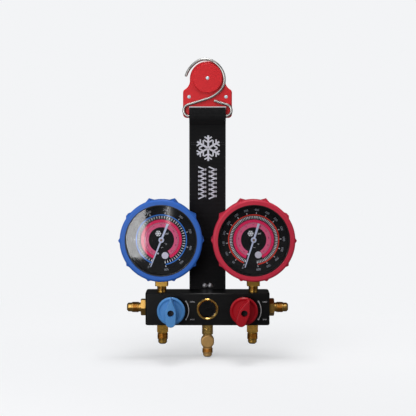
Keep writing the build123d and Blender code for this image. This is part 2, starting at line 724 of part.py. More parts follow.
def gasket():
    return rod(CASE_RADIUS, CASE_FRONT, LENS_BACK) - rod(CASE_INNER - 1.0, CASE_FRONT - 1, LENS_BACK + 1)


def dial(name):
    back = DIAL_FRONT - DIAL_THICKNESS
    disc = rod(CASE_INNER - 0.2, back, DIAL_FRONT) - rod(DIAL_HOLE, back - 1, DIAL_FRONT + 1)
    for x, y in (ZERO_SCREW_AT[name], DIAL_SCREW_AT[name]):
        disc -= Pos(x, y) * rod(DIAL_SCREW_RADIUS - 0.3, back - 1, DIAL_FRONT + 1)
    return disc


def dial_screws(name):
    """The slotted zero screw and the small screw that holds the dial to the movement."""
    pair = []
    for (x, y), radius, height, turn in (
        (ZERO_SCREW_AT[name], ZERO_SCREW_RADIUS, ZERO_SCREW_HEAD, 20.0),
        (DIAL_SCREW_AT[name], DIAL_SCREW_RADIUS, DIAL_SCREW_HEAD, 60.0),
    ):
        head = rod(radius, DIAL_FRONT, DIAL_FRONT + height)
        shank = rod(DIAL_SCREW_RADIUS - 0.3 - SEAT, FRAME_FRONT + GAP, DIAL_FRONT)
        slot = slab((-radius, radius), (-SCREW_SLOT / 2, SCREW_SLOT / 2), (0, 1))
        slot = Pos(0, 0, DIAL_FRONT + height / 2) * (Rotation(0, 0, turn) * slot)
        pair.append((Pos(x, y) * (head + shank - slot)).solid())
    return Compound(pair)


def pointer(name):
    """Tapered blade with a counterpoise tail on a round hub, pressed on the spindle."""
    blade = make_face(
        Polyline(
            (-POINTER_TIP_WIDTH / 2, POINTER_TIP),
            (POINTER_TIP_WIDTH / 2, POINTER_TIP),
            (POINTER_ROOT_WIDTH / 2, 0),
            (POINTER_TAIL_WIDTH / 2, -POINTER_TAIL),
            (-POINTER_TAIL_WIDTH / 2, -POINTER_TAIL),
            (-POINTER_ROOT_WIDTH / 2, 0),
            close=True,
        )
    )
    needle = Pos(0, 0, POINTER_BACK) * extrude(blade, POINTER_THICKNESS)
    needle += rod(HUB_RADIUS, POINTER_BACK - 0.4, HUB_FRONT)
    needle -= rod(SPINDLE_CAP_RADIUS + SEAT, 0, HUB_FRONT + 1)
    return Rotation(0, 0, 180 - POINTER_REST[name]) * needle


def involute_flank(teeth, addendum, dedendum, steps):
    """Half-thickness angle, in degrees, of a thinned involute tooth at several radii."""
    pitch = MODULE * teeth / 2
    base = pitch * cos(radians(20))
    half = 90.0 / teeth - degrees(BACKLASH / 2 / pitch)
    inv_pitch = tan(radians(20)) - radians(20)
    flank = []
    for n in range(steps + 1):
        radius = pitch - dedendum + (addendum + dedendum) * n / steps
        pressure = acos(min(1.0, base / radius))
        spread = tan(pressure) - pressure
        flank.append((radius, half + degrees(inv_pitch - spread)))
    return flank


def toothed_arc(teeth, count, first, addendum, dedendum, steps=4):
    """Outline points of a run of teeth about the origin, counterclockwise."""
    flank = involute_flank(teeth, addendum, dedendum, steps)
    points = []
    for n in range(count):
        middle = first + n * 360.0 / teeth
        points += [polar(r, middle - h) for r, h in flank]
        points += [polar(r, middle + h) for r, h in reversed(flank)]
    return points


def pinion():
    """Twelve-tooth pinion cut on the pointer's spindle."""
    first = SECTOR_AT_ANGLE + 180.0 / PINION_TEETH
    teeth = toothed_arc(PINION_TEETH, PINION_TEETH, first, MODULE, 1.15 * MODULE)
    gear = extrude(make_face(Polyline(*teeth, close=True)), PINION_LENGTH / 2, both=True)
    shaft = rod(SPINDLE_RADIUS, FRAME_BACK + 0.1, HUB_FRONT)
    cap = rod(SPINDLE_CAP_RADIUS, DIAL_FRONT + 0.2, HUB_FRONT + SPINDLE_CAP)
    return Pos(0, 0, SECTOR_MID) * gear + shaft + cap


def sector():
    """Toothed segment with two arms, a hub on its arbor and a tail for the link."""
    margin = (SECTOR_TEETH * TOOTH_STEP - SECTOR_TRAVEL) / 2
    last = TO_PINION + margin - TOOTH_STEP / 2
    steps_back = round((SECTOR_TEETH - 1) - (last - TO_PINION) / TOOTH_STEP)
    first = TO_PINION - steps_back * TOOTH_STEP
    teeth = toothed_arc(SECTOR_WHEEL_TEETH, SECTOR_TEETH, first, 0.8 * MODULE, 1.25 * MODULE)
    root = SECTOR_PITCH - 1.25 * MODULE
    start = first - TOOTH_STEP / 2
    end = first + (SECTOR_TEETH - 0.5) * TOOTH_STEP
    outline = [polar(root - SECTOR_RIM, start), polar(root, start)] + teeth
    outline += [polar(root, end), polar(root - SECTOR_RIM, end)]
    inner = [polar(root - SECTOR_RIM, start + (end - start) * n / 6) for n in range(5, 0, -1)]
    rim = make_face(Polyline(*outline, *inner, close=True))
    flat = rim + Circle(SECTOR_HUB)
    for angle in (start + 3, end - 3):
        reach = root - SECTOR_RIM / 2
        flat += Rotation(0, 0, angle) * (Pos(reach / 2, 0) * Rectangle(reach, SECTOR_ARM))
    tail = Pos(TAIL_LENGTH / 2, 0) * SlotCenterToCenter(TAIL_LENGTH, 2 * LINK_EYE)
    flat += Rotation(0, 0, TAIL_DIRECTION) * tail
    body = Pos(0, 0, SECTOR_MID) * extrude(flat, SECTOR_THICKNESS / 2, both=True)
    body += rod(ARBOR_RADIUS, FRAME_BACK + 0.1, FRAME_FRONT - 0.1)
    pin_top = LINK_BACK + LINK_THICKNESS + RUNNING
    pin = Pos(*polar(TAIL_LENGTH, TAIL_DIRECTION)) * rod(LINK_PIN, SECTOR_MID, pin_top)
    return Pos(SECTOR_X, SECTOR_Y) * (body + pin)


def link():
    """Flat link from the sector's tail to the tube's tip, with the tip's pin."""
    ends = Pos(TAIL_X, TAIL_Y) * Circle(LINK_EYE) + Pos(TIP_X, TIP_Y) * Circle(LINK_EYE)
    plate = Pos(0, 0, LINK_BACK) * extrude(make_hull(ends.edges()), LINK_THICKNESS)
    plate -= Pos(TAIL_X, TAIL_Y) * rod(LINK_PIN + RUNNING, LINK_BACK - 1, LINK_BACK + 3)
    return plate + Pos(TIP_X, TIP_Y) * rod(LINK_PIN, LINK_BACK - 1.6, LINK_BACK + LINK_THICKNESS)


def bourdon_tube():
    """Flattened tube bent to a C; its forked tip is slotted, as the tube here can't flex."""
    section = Plane.XZ * Pos(TUBE_RADIUS, TUBE_MID) * SlotOverall(*TUBE_SECTION, rotation=90)
    short = degrees((TIP_FORK + 2 * GAP) / TUBE_RADIUS)
    tube = Rotation(0, 0, TIP_ANGLE + short) * revolve(section, Axis.Z, TUBE_SWEEP - short)
    height = (TUBE_MID - TIP_HALF_HEIGHT, TUBE_MID + TIP_HALF_HEIGHT)
    tip = slab((-TIP_HALF_WIDTH, TIP_HALF_WIDTH), TIP_REACH, height)
    tip -= slab((-4, 4), (-4, TIP_FORK), (LINK_BACK - GAP, LINK_BACK + LINK_THICKNESS + GAP))
    tip = Pos(TIP_X, TIP_Y) * (Rotation(0, 0, TIP_ANGLE) * tip)
    radius = LINK_PIN + 2 * RUNNING + TAIL_LENGTH * (1 - cos(radians(SECTOR_TRAVEL / 2)))
    start, end = radians(TAIL_DIRECTION), radians(TAIL_DIRECTION + SECTOR_TRAVEL)
    far_x = TIP_X + TAIL_LENGTH * (cos(end) - cos(start))
    far_y = TIP_Y + TAIL_LENGTH * (sin(end) - sin(start))
    run = Pos(TIP_X, TIP_Y) * Circle(radius) + Pos(far_x, far_y) * Circle(radius)
    return tube + (tip - Pos(0, 0, LINK_BACK - 4) * extrude(make_hull(run.edges()), 4))


def movement_outline():
    spots = [(0, 0), (SECTOR_X, SECTOR_Y), (-4.0, SOCKET_TOP - 5), (4.0, SOCKET_TOP - 5), *PILLARS]
    rings = [Pos(x, y) * Circle(PILLAR_RADIUS + 1.4) for x, y in spots]
    return make_hull([edge for ring in rings for edge in ring.edges()])


def movement_frame():
    """Two plates on the socket, joined by pillars, that carry both arbors."""
    outline = movement_outline()
    plate = extrude(outline, FRAME_PLATE)
    frame = Pos(0, 0, FRAME_BACK) * plate + Pos(0, 0, FRAME_FRONT - FRAME_PLATE) * plate
    for x, y in PILLARS:
        frame += Pos(x, y) * rod(PILLAR_RADIUS, FRAME_BACK, FRAME_FRONT)
    for x, y, radius in ((0, 0, SPINDLE_RADIUS), (SECTOR_X, SECTOR_Y, ARBOR_RADIUS)):
        frame -= Pos(x, y) * rod(radius + RUNNING, FRAME_BACK - 1, FRAME_FRONT + 1)
    return frame


def socket(tube):
    """Brass socket: block inside the case, wrench square, and the threaded stem below."""
    half = SOCKET_WIDTH / 2
    inside = slab((-half, half), (HEX_TOP, SOCKET_TOP), (SOCKET_BACK, SOCKET_FRONT))
    square = slab((-half, half), (HEX_BOTTOM, HEX_TOP), (-half, half))
    square = chamfer(square.edges().filter_by(Axis.Y), SOCKET_CORNER)
    stem_end = -GAUGE_LIFT - STEM_DEPTH
    stem = Plane(origin=(0, HEX_BOTTOM, 0), x_dir=(1, 0, 0), z_dir=(0, -1, 0)).location * (
        rod(STEM_RADIUS, 0, HEX_BOTTOM - stem_end)
    )
    bore = Plane(origin=(0, stem_end - 1, 0), x_dir=(1, 0, 0), z_dir=(0, 1, 0)).location * (
        rod(STEM_BORE, 0, -TUBE_RADIUS - stem_end + 2)
    )
    return inside + square + stem - bore - tube


# ================================================================ valves
def valve_frame(side):
    return front_frame(side * VALVE_X, BLOCK_FRONT, BLOCK_Z)


def bonnet():
    """Gland nut screwed into the block round the valve's spindle."""
    nut = rod(BONNET_THREAD, -BONNET_DEPTH, 0) + hexagon(BONNET_HEX, 0, BONNET_HEX_HEIGHT)
    nut += rod(BONNET_NECK, BONNET_HEX_HEIGHT, BONNET_HEX_HEIGHT + BONNET_NECK_HEIGHT)
    return nut - rod(VALVE_SPINDLE + RUNNING, -BONNET_DEPTH - 1, BONNET_HEX_HEIGHT + BONNET_NECK_HEIGHT + 1)


POPPET_BACK = CHAMBER_FLOOR + POPPET_GAP
POPPET_FRONT = POPPET_BACK + POPPET_LENGTH
SEAL_MID = POPPET_BACK + POPPET_LENGTH / 2


def poppet():
    """Piston with a seal groove and a socket for the spindle's end; it slides and never turns."""
    body = turned(
        (0, POPPET_BACK),
        (POPPET_RADIUS - 1.2, POPPET_BACK),
        (POPPET_RADIUS, POPPET_BACK + 1.2),
        (POPPET_RADIUS, SEAL_MID - SEAL_RADIUS - SEAT),
        (POPPET_RADIUS - 2 * SEAL_RADIUS - SEAT, SEAL_MID - SEAL_RADIUS - SEAT),
        (POPPET_RADIUS - 2 * SEAL_RADIUS - SEAT, SEAL_MID + SEAL_RADIUS + SEAT),
        (POPPET_RADIUS, SEAL_MID + SEAL_RADIUS + SEAT),
        (POPPET_RADIUS, POPPET_FRONT),
        (0, POPPET_FRONT),
    )
    return body - rod(VALVE_BALL + RUNNING, POPPET_FRONT - 3, POPPET_FRONT + 1)


def valve_seal():
    return Pos(0, 0, SEAL_MID) * Torus(POPPET_RADIUS - SEAL_RADIUS, SEAL_RADIUS)


def valve_spindle():
    """Turned spindle with a squared front end, tapped for the knob's screw."""
    shaft = rod(VALVE_SPINDLE, POPPET_FRONT + GAP, VALVE_SPINDLE_FRONT)
    shaft += rod(VALVE_BALL, POPPET_FRONT - 3 + RUNNING, POPPET_FRONT + 1)
    shaft += slab(
        (-VALVE_SQUARE / 2, VALVE_SQUARE / 2),
        (-VALVE_SQUARE / 2, VALVE_SQUARE / 2),
        (VALVE_SPINDLE_FRONT, VALVE_SQUARE_FRONT),
    )
    floor = VALVE_SQUARE_FRONT - KNOB_SCREW_LENGTH - 1
    return shaft - rod(KNOB_SCREW_SHANK + SEAT, floor, VALVE_SQUARE_FRONT + 1)


KNOB_FLOOR = VALVE_SQUARE_FRONT + GAP


def knob():
    """Dished disc with a raised rim and a teardrop grip across its whole face."""
    back = KNOB_FRONT - KNOB_DISC
    disc = turned(
        (0, back),
        (KNOB_RADIUS - KNOB_ROUND, back),
        (KNOB_RADIUS, back + KNOB_ROUND),
        (KNOB_RADIUS, KNOB_FRONT - KNOB_ROUND),
        (KNOB_RADIUS - KNOB_ROUND, KNOB_FRONT),
        (KNOB_RADIUS - KNOB_RIM - KNOB_ROUND, KNOB_FRONT),
        (KNOB_RADIUS - KNOB_RIM - KNOB_ROUND - KNOB_SLOPE, KNOB_FRONT - KNOB_DISH),
        (0, KNOB_FRONT - KNOB_DISH),
    )
    skirt = rod(KNOB_SKIRT_RADIUS, back - KNOB_SKIRT, back)
    apex = Pos(0, KNOB_RADIUS - RIDGE_APEX) * Circle(RIDGE_APEX)
    middle = Circle(RIDGE_HALF)
    heel = Pos(0, -KNOB_RADIUS + RIDGE_HEEL) * Circle(RIDGE_HEEL)
    grip = extrude(make_hull((apex + middle + heel).edges()), RIDGE_HEIGHT + KNOB_DISH)
    grip = fillet(grip.faces().sort_by(Axis.Z)[-1].outer_wire().edges(), RIDGE_ROUND)
    body = disc + skirt + Pos(0, 0, KNOB_FRONT - KNOB_DISH) * grip
    body -= rod(KNOB_SKIRT_RADIUS - KNOB_SKIRT_WALL, back - KNOB_SKIRT - 1, back)
    body -= rod(VALVE_SPINDLE + SEAT, back - 1, VALVE_SPINDLE_FRONT)
    half = VALVE_SQUARE / 2 + SEAT
    body -= slab((-half, half), (-half, half), (VALVE_SPINDLE_FRONT - 1, KNOB_FLOOR + 1))
    return body - rod(KNOB_HOLE, KNOB_FLOOR, KNOB_FRONT + RIDGE_HEIGHT + 1)


def knob_screw():
    """Pan-head screw at the bottom of the knob's hole."""
    screw = rod(KNOB_SCREW_HEAD, KNOB_FLOOR, KNOB_FLOOR + KNOB_SCREW_HEIGHT)
    screw += rod(KNOB_SCREW_SHANK, VALVE_SQUARE_FRONT - KNOB_SCREW_LENGTH, KNOB_FLOOR)
    top = KNOB_FLOOR + KNOB_SCREW_HEIGHT
    for turn in (0, 90):
        screw -= Rotation(0, 0, turn) * slab((-2, 2), (-0.4, 0.4), (top - 1.2, top + 1))
    return screw


# ================================================================ sight glass
SIGHT_GLASS_FRONT = -SIGHT_RING_DEPTH
SIGHT_GLASS_BACK = SIGHT_GLASS_FRONT - SIGHT_GLASS_THICKNESS
SIGHT_SEAL_BACK = SIGHT_GLASS_BACK - 2 * SIGHT_SEAL_RADIUS
SIGHT_FLOOR = SIGHT_SEAL_BACK - SIGHT_BACKING


def sight_ring():
    ring = turned(
        (SIGHT_RING_INNER, -SIGHT_RING_DEPTH),
        (SIGHT_RING_OUTER, -SIGHT_RING_DEPTH),
        (SIGHT_RING_OUTER, SIGHT_RING_PROUD - 0.5),
        (SIGHT_RING_OUTER - 0.5, SIGHT_RING_PROUD),
        (SIGHT_RING_INNER + 0.9, SIGHT_RING_PROUD),
        (SIGHT_RING_INNER, SIGHT_RING_PROUD - 0.9),
    )
    return front_frame(0, BLOCK_FRONT, BLOCK_Z) * ring


def sight_glass():
    glass = rod(SIGHT_GLASS_RADIUS, SIGHT_GLASS_BACK, SIGHT_GLASS_FRONT)
    return front_frame(0, BLOCK_FRONT, BLOCK_Z) * glass


def sight_seal():
    middle = SIGHT_GLASS_BACK - SIGHT_SEAL_RADIUS
    ring = Pos(0, 0, middle) * Torus(SIGHT_GLASS_RADIUS - SIGHT_SEAL_RADIUS - 0.1, SIGHT_SEAL_RADIUS)
    return front_frame(0, BLOCK_FRONT, BLOCK_Z) * ring


def sight_backing():
    disc = rod(SIGHT_GLASS_RADIUS, SIGHT_FLOOR, SIGHT_SEAL_BACK) - rod(PASSAGE_RADIUS, SIGHT_FLOOR - 1, 0)
    return front_frame(0, BLOCK_FRONT, BLOCK_Z) * disc


# ================================================================ block
def block():
    """Bored bar: two valve chambers on one gallery, gauge and port passages, sight pocket."""
    outline = fillet(Rectangle(BLOCK_WIDTH, BLOCK_DEPTH).vertices(), BLOCK_CORNER)
    bar = Pos(0, BLOCK_Y, BLOCK_BOTTOM) * extrude(outline, BLOCK_HEIGHT)
    rims = bar.faces().sort_by(Axis.Z)
    bar = chamfer(rims[0].outer_wire().edges() + rims[-1].outer_wire().edges(), BLOCK_CHAMFER)

    gallery_y = BLOCK_FRONT + GALLERY_DEPTH
    bar -= Pos(0, gallery_y, BLOCK_Z) * (Rotation(0, 90, 0) * Cylinder(GALLERY_RADIUS, 2 * VALVE_X))

    sight = rod(SIGHT_RING_OUTER + SEAT, -SIGHT_RING_DEPTH, 1)
    sight += rod(SIGHT_GLASS_RADIUS + SEAT, SIGHT_FLOOR, 0) + rod(PASSAGE_RADIUS, -GALLERY_DEPTH, 0)
    bar -= front_frame(0, BLOCK_FRONT, BLOCK_Z) * sight

    valve = rod(BONNET_THREAD + SEAT, -BONNET_DEPTH, 1) + rod(CHAMBER_RADIUS, CHAMBER_FLOOR, 0)
    valve += rod(VALVE_SEAT_BORE, -GALLERY_DEPTH, 0)
    gauge_hole = rod(STEM_RADIUS + SEAT, 0, STEM_DEPTH + 1) + rod(PASSAGE_RADIUS, 0, BLOCK_HEIGHT / 2)
    port_hole = rod(SHANK_RADIUS + SEAT, -SHANK_DEPTH, 1)
    reach = BLOCK_WIDTH / 2 - VALVE_X
    for side in SIDES.values():
        bar -= valve_frame(side) * valve
        top = Plane(origin=(side * GAUGE_X, BLOCK_Y, BLOCK_TOP), x_dir=(1, 0, 0), z_dir=(0, 0, -1)).location
        bar -= top * gauge_hole
        bar -= side_frame(side) * (port_hole + rod(PASSAGE_RADIUS, -reach, 0))
        bar -= down_frame(side * LOWER_PORT_X) * port_hole
        screw_at = front_frame(side * STRAP_SCREW_X, BLOCK_BACK, BLOCK_TOP - STRAP_SCREW_DROP)
        bar -= screw_at * rod(STRAP_SCREW_SHANK + SEAT, -1, STRAP_SCREW_DEPTH + 0.5)
    shank_hole = rod(SHANK_RADIUS - 0.6 + SEAT, -SHANK_DEPTH, 1)
    bar -= down_frame(0) * (shank_hole + rod(PASSAGE_RADIUS, -BLOCK_HEIGHT / 2, 0))
    return bar


# ================================================================ assembly
save("hanger_plate", hanger_plate())
save("hanger_back", hanger_back())
save("magnet_cup", magnet_cup())
save("magnet", magnet())
save("hanger_rivets", hanger_rivets())
save("hook", hook())
save("strap_loop", strap_loop())
save("strap_webbing", strap_webbing())
save("strap_bracket", strap_bracket())
save("strap_rivets", strap_rivets())
save("strap_screws", strap_screws())
save("block", block())
save("sight_ring", sight_ring())
save("sight_glass", sight_glass())
save("sight_seal", sight_seal())
save("sight_backing", sight_backing())
save("side_ports", side_ports())
save("lower_ports", lower_ports())
save("centre_neck", centre_neck())
save("centre_body", centre_body())

tube_shape = bourdon_tube()
shared = {
    "boot": boot(),
    "case": case(),
    "bezel": bezel(),
    "lens": lens(),
    "gasket": gasket(),
    "pinion": pinion(),
    "sector": sector(),
    "link": link(),
    "bourdon_tube": tube_shape,
    "movement_frame": movement_frame(),
    "socket": socket(tube_shape),
}
for name, side in SIDES.items():
    place = gauge_frame(side)
    for piece, shape in shared.items():
        save(f"{name}_{piece}", place * shape)
    save(f"{name}_dial", place * dial(name))
    save(f"{name}_dial_screws", place * dial_screws(name))
    save(f"{name}_pointer", place * pointer(name))
    place = valve_frame(side)
    save(f"{name}_bonnet", place * bonnet())
    save(f"{name}_poppet", place * poppet())
    save(f"{name}_valve_seal", place * valve_seal())
    turned_place = place * Location((0, 0, 0), (0, 0, VALVE_TURN[name]))
    save(f"{name}_spindle", turned_place * valve_spindle())
    save(f"{name}_knob", turned_place * knob())
    save(f"{name}_knob_screw", turned_place * knob_screw())
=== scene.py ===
"""Dresses a packed refrigerant manifold gauge: finishes, dial prints, threads, webbing and studio.

Sizes are in millimetres unless a name says otherwise. +X is to the right seen from the front,
+Y is to the back and +Z is up; the origin is the centre of the hanging magnet's flat face.
"""

from __future__ import annotations

import logging
import math
from dataclasses import dataclass
from enum import Enum
from typing import Any, Iterable, Sequence

import bmesh
import bpy
from mathutils import Matrix, Vector

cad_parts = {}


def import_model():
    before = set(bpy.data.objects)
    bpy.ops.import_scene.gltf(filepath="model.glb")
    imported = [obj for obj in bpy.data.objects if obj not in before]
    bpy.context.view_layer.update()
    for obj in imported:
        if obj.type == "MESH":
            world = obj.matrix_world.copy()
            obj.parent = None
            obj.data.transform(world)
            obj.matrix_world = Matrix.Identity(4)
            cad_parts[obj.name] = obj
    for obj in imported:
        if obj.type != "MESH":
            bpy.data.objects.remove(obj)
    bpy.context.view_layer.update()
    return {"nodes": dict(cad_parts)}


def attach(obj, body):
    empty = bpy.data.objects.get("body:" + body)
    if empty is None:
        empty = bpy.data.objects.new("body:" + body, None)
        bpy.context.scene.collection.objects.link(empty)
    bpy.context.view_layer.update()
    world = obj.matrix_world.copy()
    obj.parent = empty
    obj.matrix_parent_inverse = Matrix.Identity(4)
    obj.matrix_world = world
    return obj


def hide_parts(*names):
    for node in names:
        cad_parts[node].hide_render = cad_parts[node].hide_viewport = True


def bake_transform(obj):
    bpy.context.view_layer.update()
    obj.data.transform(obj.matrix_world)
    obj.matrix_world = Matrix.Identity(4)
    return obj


LOG = logging.getLogger("manifold_gauge")
MM = 0.001
Color = tuple[float, float, float]
Pair = tuple[float, float]


def from_hex(code: str) -> Color:
    """Linear colour of a six-digit sRGB code."""
    parts = [int(code[n : n + 2], 16) / 255 for n in (0, 2, 4)]
    low, high = ([p / 12.92 for p in parts], [((p + 0.055) / 1.055) ** 2.4 for p in parts])
    return tuple(b if p > 0.04045 else a for p, a, b in zip(parts, low, high))


# ---------------------------------------------------------------- shader kit
class Sock:
    """One output socket whose arithmetic adds Math nodes."""

    def __init__(self, graph: "Graph", socket: Any) -> None:
        """Keeps the socket and the graph that it belongs to."""
        self.graph = graph
        self.socket = socket

    def _math(self, operation: str, *values: Any) -> "Sock":
        """A Math node on these values."""
        return self.graph.node("ShaderNodeMath", {"operation": operation}, dict(enumerate(values)))

    def __add__(self, other: Any) -> "Sock":
        """self + other."""
        return self._math("ADD", self, other)

    def __radd__(self, other: Any) -> "Sock":
        """other + self."""
        return self._math("ADD", other, self)

    def __rsub__(self, other: Any) -> "Sock":
        """other - self."""
        return self._math("SUBTRACT", other, self)

    def __mul__(self, other: Any) -> "Sock":
        """self * other."""
        return self._math("MULTIPLY", self, other)

    def __rmul__(self, other: Any) -> "Sock":
        """other * self."""
        return self._math("MULTIPLY", other, self)

    def sine(self) -> "Sock":
        """Sine of a value in radians."""
        return self._math("SINE", self)

    def power(self, exponent: float) -> "Sock":
        """The value to this power."""
        return self._math("POWER", self, exponent)

    def above(self, limit: float) -> "Sock":
        """1 where the value is over the limit, or else 0."""
        return self._math("GREATER_THAN", self, limit)

    def size(self) -> "Sock":
        """Absolute value."""
        return self._math("ABSOLUTE", self)


class Graph:
    """The nodes of one material or world."""

    def __init__(self, owner: Any) -> None:
        """Empties the node tree of a material or world."""
        self.owner = owner
        owner.use_nodes = True
        self.tree = owner.node_tree
        self.tree.nodes.clear()

    @classmethod
    def named(cls, name: str) -> "Graph":
        """The empty graph of a new material."""
        return cls(bpy.data.materials.new(name))

    def node(
        self, kind: str, settings: dict[str, Any], sockets: dict[Any, Any], output: Any = 0
    ) -> Sock:
        """Adds one node.

        Args:
            kind: the node's type name.
            settings: properties set first; "stops" fills a colour ramp.
            sockets: values or links of the inputs, by name or number.
            output: name or number of the output to return.

        Returns:
            The chosen output.
        """
        made = self.tree.nodes.new(kind)
        for key, value in settings.items():
            if key == "stops":
                while len(made.color_ramp.elements) < len(value):
                    made.color_ramp.elements.new(1.0)
                for place, shade in zip(made.color_ramp.elements, value):
                    place.position, place.color = shade[0], (*shade[1], 1.0)
            else:
                setattr(made, key, value)
        for key, value in sockets.items():
            if isinstance(value, Sock):
                self.tree.links.new(value.socket, made.inputs[key])
            else:
                made.inputs[key].default_value = value
        return Sock(self, made.outputs[output])

    def place(self) -> Sock:
        """Object coordinates, in metres."""
        return self.node("ShaderNodeTexCoord", {}, {}, "Object")

    def axis(self, vector: Sock, name: str) -> Sock:
        """One component of a vector, X, Y or Z."""
        return self.node("ShaderNodeSeparateXYZ", {}, {0: vector}, name)

    def noise(self, vector: Sock, grain: float, detail: float = 3.0) -> Sock:
        """Noise from 0 to 1 whose grain is about this many millimetres."""
        return self.node(
            "ShaderNodeTexNoise", {}, {"Vector": vector, "Scale": 1 / (grain * MM), "Detail": detail}
        )

    def blend(self, share: Any, low: Any, high: Any) -> Sock:
        """Colour between low and high."""
        colors = {6: low if isinstance(low, Sock) else (*low, 1.0)}
        colors[7] = high if isinstance(high, Sock) else (*high, 1.0)
        return self.node("ShaderNodeMix", {"data_type": "RGBA"}, {0: share, **colors}, 2)

    def bump(self, height: Sock, depth: float) -> Sock:
        """Normal of a relief whose depth is in millimetres."""
        return self.node("ShaderNodeBump", {}, {"Height": height, "Strength": 1.0, "Distance": depth * MM})

    def shader(self, **inputs: Any) -> Sock:
        """A Principled shader; underscores in names stand for spaces."""
        named = {key.replace("_", " "): value for key, value in inputs.items()}
        return self.node("ShaderNodeBsdfPrincipled", {}, named)

    def close(self, surface: Sock, output: str = "ShaderNodeOutputMaterial") -> Any:
        """Links the surface to an output node and returns the material or world."""
        end = self.tree.nodes.new(output)
        self.tree.links.new(surface.socket, end.inputs["Surface"])
        return self.owner


# ---------------------------------------------------------------- finishes
@dataclass(frozen=True)
class Finish:
    """An even finish with a slight mottle in its colour and gloss.

    Attributes:
        name: the material's name.
        color: linear base colour.
        roughness: mean roughness.
        metallic: 1 for bare metal.
        coat: weight of a clear coat.
        mottle: how far colour and gloss vary, from 0 to 1.
        grain: size of the mottle.
        relief: depth of the surface's fine unevenness.
        gloss: level of the plain reflection.
    """

    name: str
    color: Color
    roughness: float = 0.4
    metallic: float = 0.0
    coat: float = 0.0
    mottle: float = 0.12
    grain: float = 6.0
    relief: float = 0.0
    gloss: float = 0.5

    def tone(self, graph: Graph, cloud: Sock) -> Sock:
        """The base colour, darker and lighter by the mottle."""
        dark = tuple(c * (1 - self.mottle) for c in self.color)
        light = tuple(min(1.0, c * (1 + self.mottle)) for c in self.color)
        return graph.blend(cloud, dark, light)

    def build(self) -> bpy.types.Material:
        """Makes the material."""
        graph = Graph.named(self.name)
        place = graph.place()
        cloud = graph.noise(place, self.grain)
        inputs: dict[str, Any] = {
            "Base_Color": self.tone(graph, cloud),
            "Roughness": self.roughness * (1 - self.mottle) + cloud * (2 * self.mottle * self.roughness),
            "Metallic": self.metallic,
            "Coat_Weight": self.coat,
            "Coat_Roughness": 0.08,
            "Specular_IOR_Level": self.gloss,
        }
        if self.relief:
            inputs["Normal"] = graph.bump(graph.noise(place, self.grain / 12, 2.0), self.relief)
        return graph.close(graph.shader(**inputs))


@dataclass(frozen=True)
class Turned(Finish):
    """Machined metal with fine tool rings along one axis.

    Attributes:
        along: the axis that the part was turned about.
        pitch: from one tool ring to the next.
    """

    along: str = "Z"
    pitch: float = 0.35

    def build(self) -> bpy.types.Material:
        """Makes the material."""
        graph = Graph.named(self.name)
        place = graph.place()
        cloud = graph.noise(place, self.grain)
        rings = (graph.axis(place, self.along) * (2 * math.pi / (self.pitch * MM))).sine()
        relief = graph.bump(rings + graph.noise(place, 0.6), self.relief)
        return graph.close(
            graph.shader(
                Base_Color=self.tone(graph, cloud),
                Roughness=self.roughness * 0.8 + cloud * (0.4 * self.roughness),
                Metallic=self.metallic,
                Normal=relief,
            )
        )


@dataclass(frozen=True)
class Webbing:
    """Black ribbed webbing that follows the strip's own UV map, in metres.

    Attributes:
        name: the material's name.
        rib: from one crosswise rib to the next.
        yarn: from one lengthwise yarn to the next.
        selvage: where the plain edge begins, from the middle; beyond it the colour is lighter, a painted
            sheen.
        dark: colour between the ribs, painted shade in the hollows.
        light: colour of the ribs' crests, a painted highlight.
        relief: height of the weave.
    """

    name: str = "woven webbing"
    rib: float = 1.45
    yarn: float = 0.9
    selvage: float = 18.4
    dark: Color = (0.0025, 0.0025, 0.003)
    light: Color = (0.0125, 0.0125, 0.0135)
    relief: float = 0.16

    def build(self) -> bpy.types.Material:
        """Makes the material."""
        graph = Graph.named(self.name)
        across = graph.node("ShaderNodeUVMap", {"uv_map": "cloth"}, {}, "UV")
        u, v = graph.axis(across, "X"), graph.axis(across, "Y")
        ribs = (v * (2 * math.pi / (self.rib * MM))).sine()
        yarns = (u * (2 * math.pi / (self.yarn * MM))).sine()
        # edge is 1 on the plain selvage: it flattens the ribs there and also lightens the colour, a
        # painted sheen.
        edge = u.size().above(self.selvage * MM)
        fuzz = graph.noise(across, 0.5, 2.0)
        band = graph.noise(across, 9.0, 2.0)
        weave = ribs * (1 - 0.7 * edge) + yarns * 0.35 + fuzz * 0.6
        # The ribs' term makes their crests lighter and the hollows between them darker: painted highlight
        # and painted shade. The edge term is the selvage's painted sheen; band and fuzz are the cloth's
        # own uneven tone.
        tone = 0.36 + ribs * 0.14 + band * 0.35 + edge * 0.2 + fuzz * 0.2
        return graph.close(
            graph.shader(
                Base_Color=graph.blend(tone, self.dark, self.light),
                Roughness=0.62 + fuzz * 0.2,
                Sheen_Weight=0.02,
                Sheen_Roughness=0.4,
                Specular_IOR_Level=0.12,
                Normal=graph.bump(weave, self.relief),
            )
        )


@dataclass(frozen=True)
class Clear:
    """A clear pane: what isn't reflected passes through.

    Attributes:
        name: the material's name.
        tint: colour of what passes.
        facing: share reflected face on.
        falloff: how late the reflection grows towards the edge.
    """

    name: str
    tint: Color
    facing: float = 0.04
    falloff: float = 5.0

    def build(self) -> bpy.types.Material:
        """Makes the material."""
        graph = Graph.named(self.name)
        place = graph.place()
        smear = graph.noise(place, 14.0)
        through = graph.node("ShaderNodeBsdfTransparent", {}, {"Color": (*self.tint, 1.0)})
        gloss = graph.shader(
            Base_Color=graph.blend(smear, (0.93, 0.92, 0.91), (1.0, 0.99, 0.98)),
            Roughness=0.03 + smear * 0.03,
            Metallic=1.0,
        )
        edge = graph.node("ShaderNodeLayerWeight", {}, {"Blend": 0.5}, "Facing")
        mirror = edge.power(self.falloff) * (1 - self.facing) + self.facing
        mixed = graph.node("ShaderNodeMixShader", {}, {0: mirror, 1: through, 2: gloss})
        return graph.close(mixed)


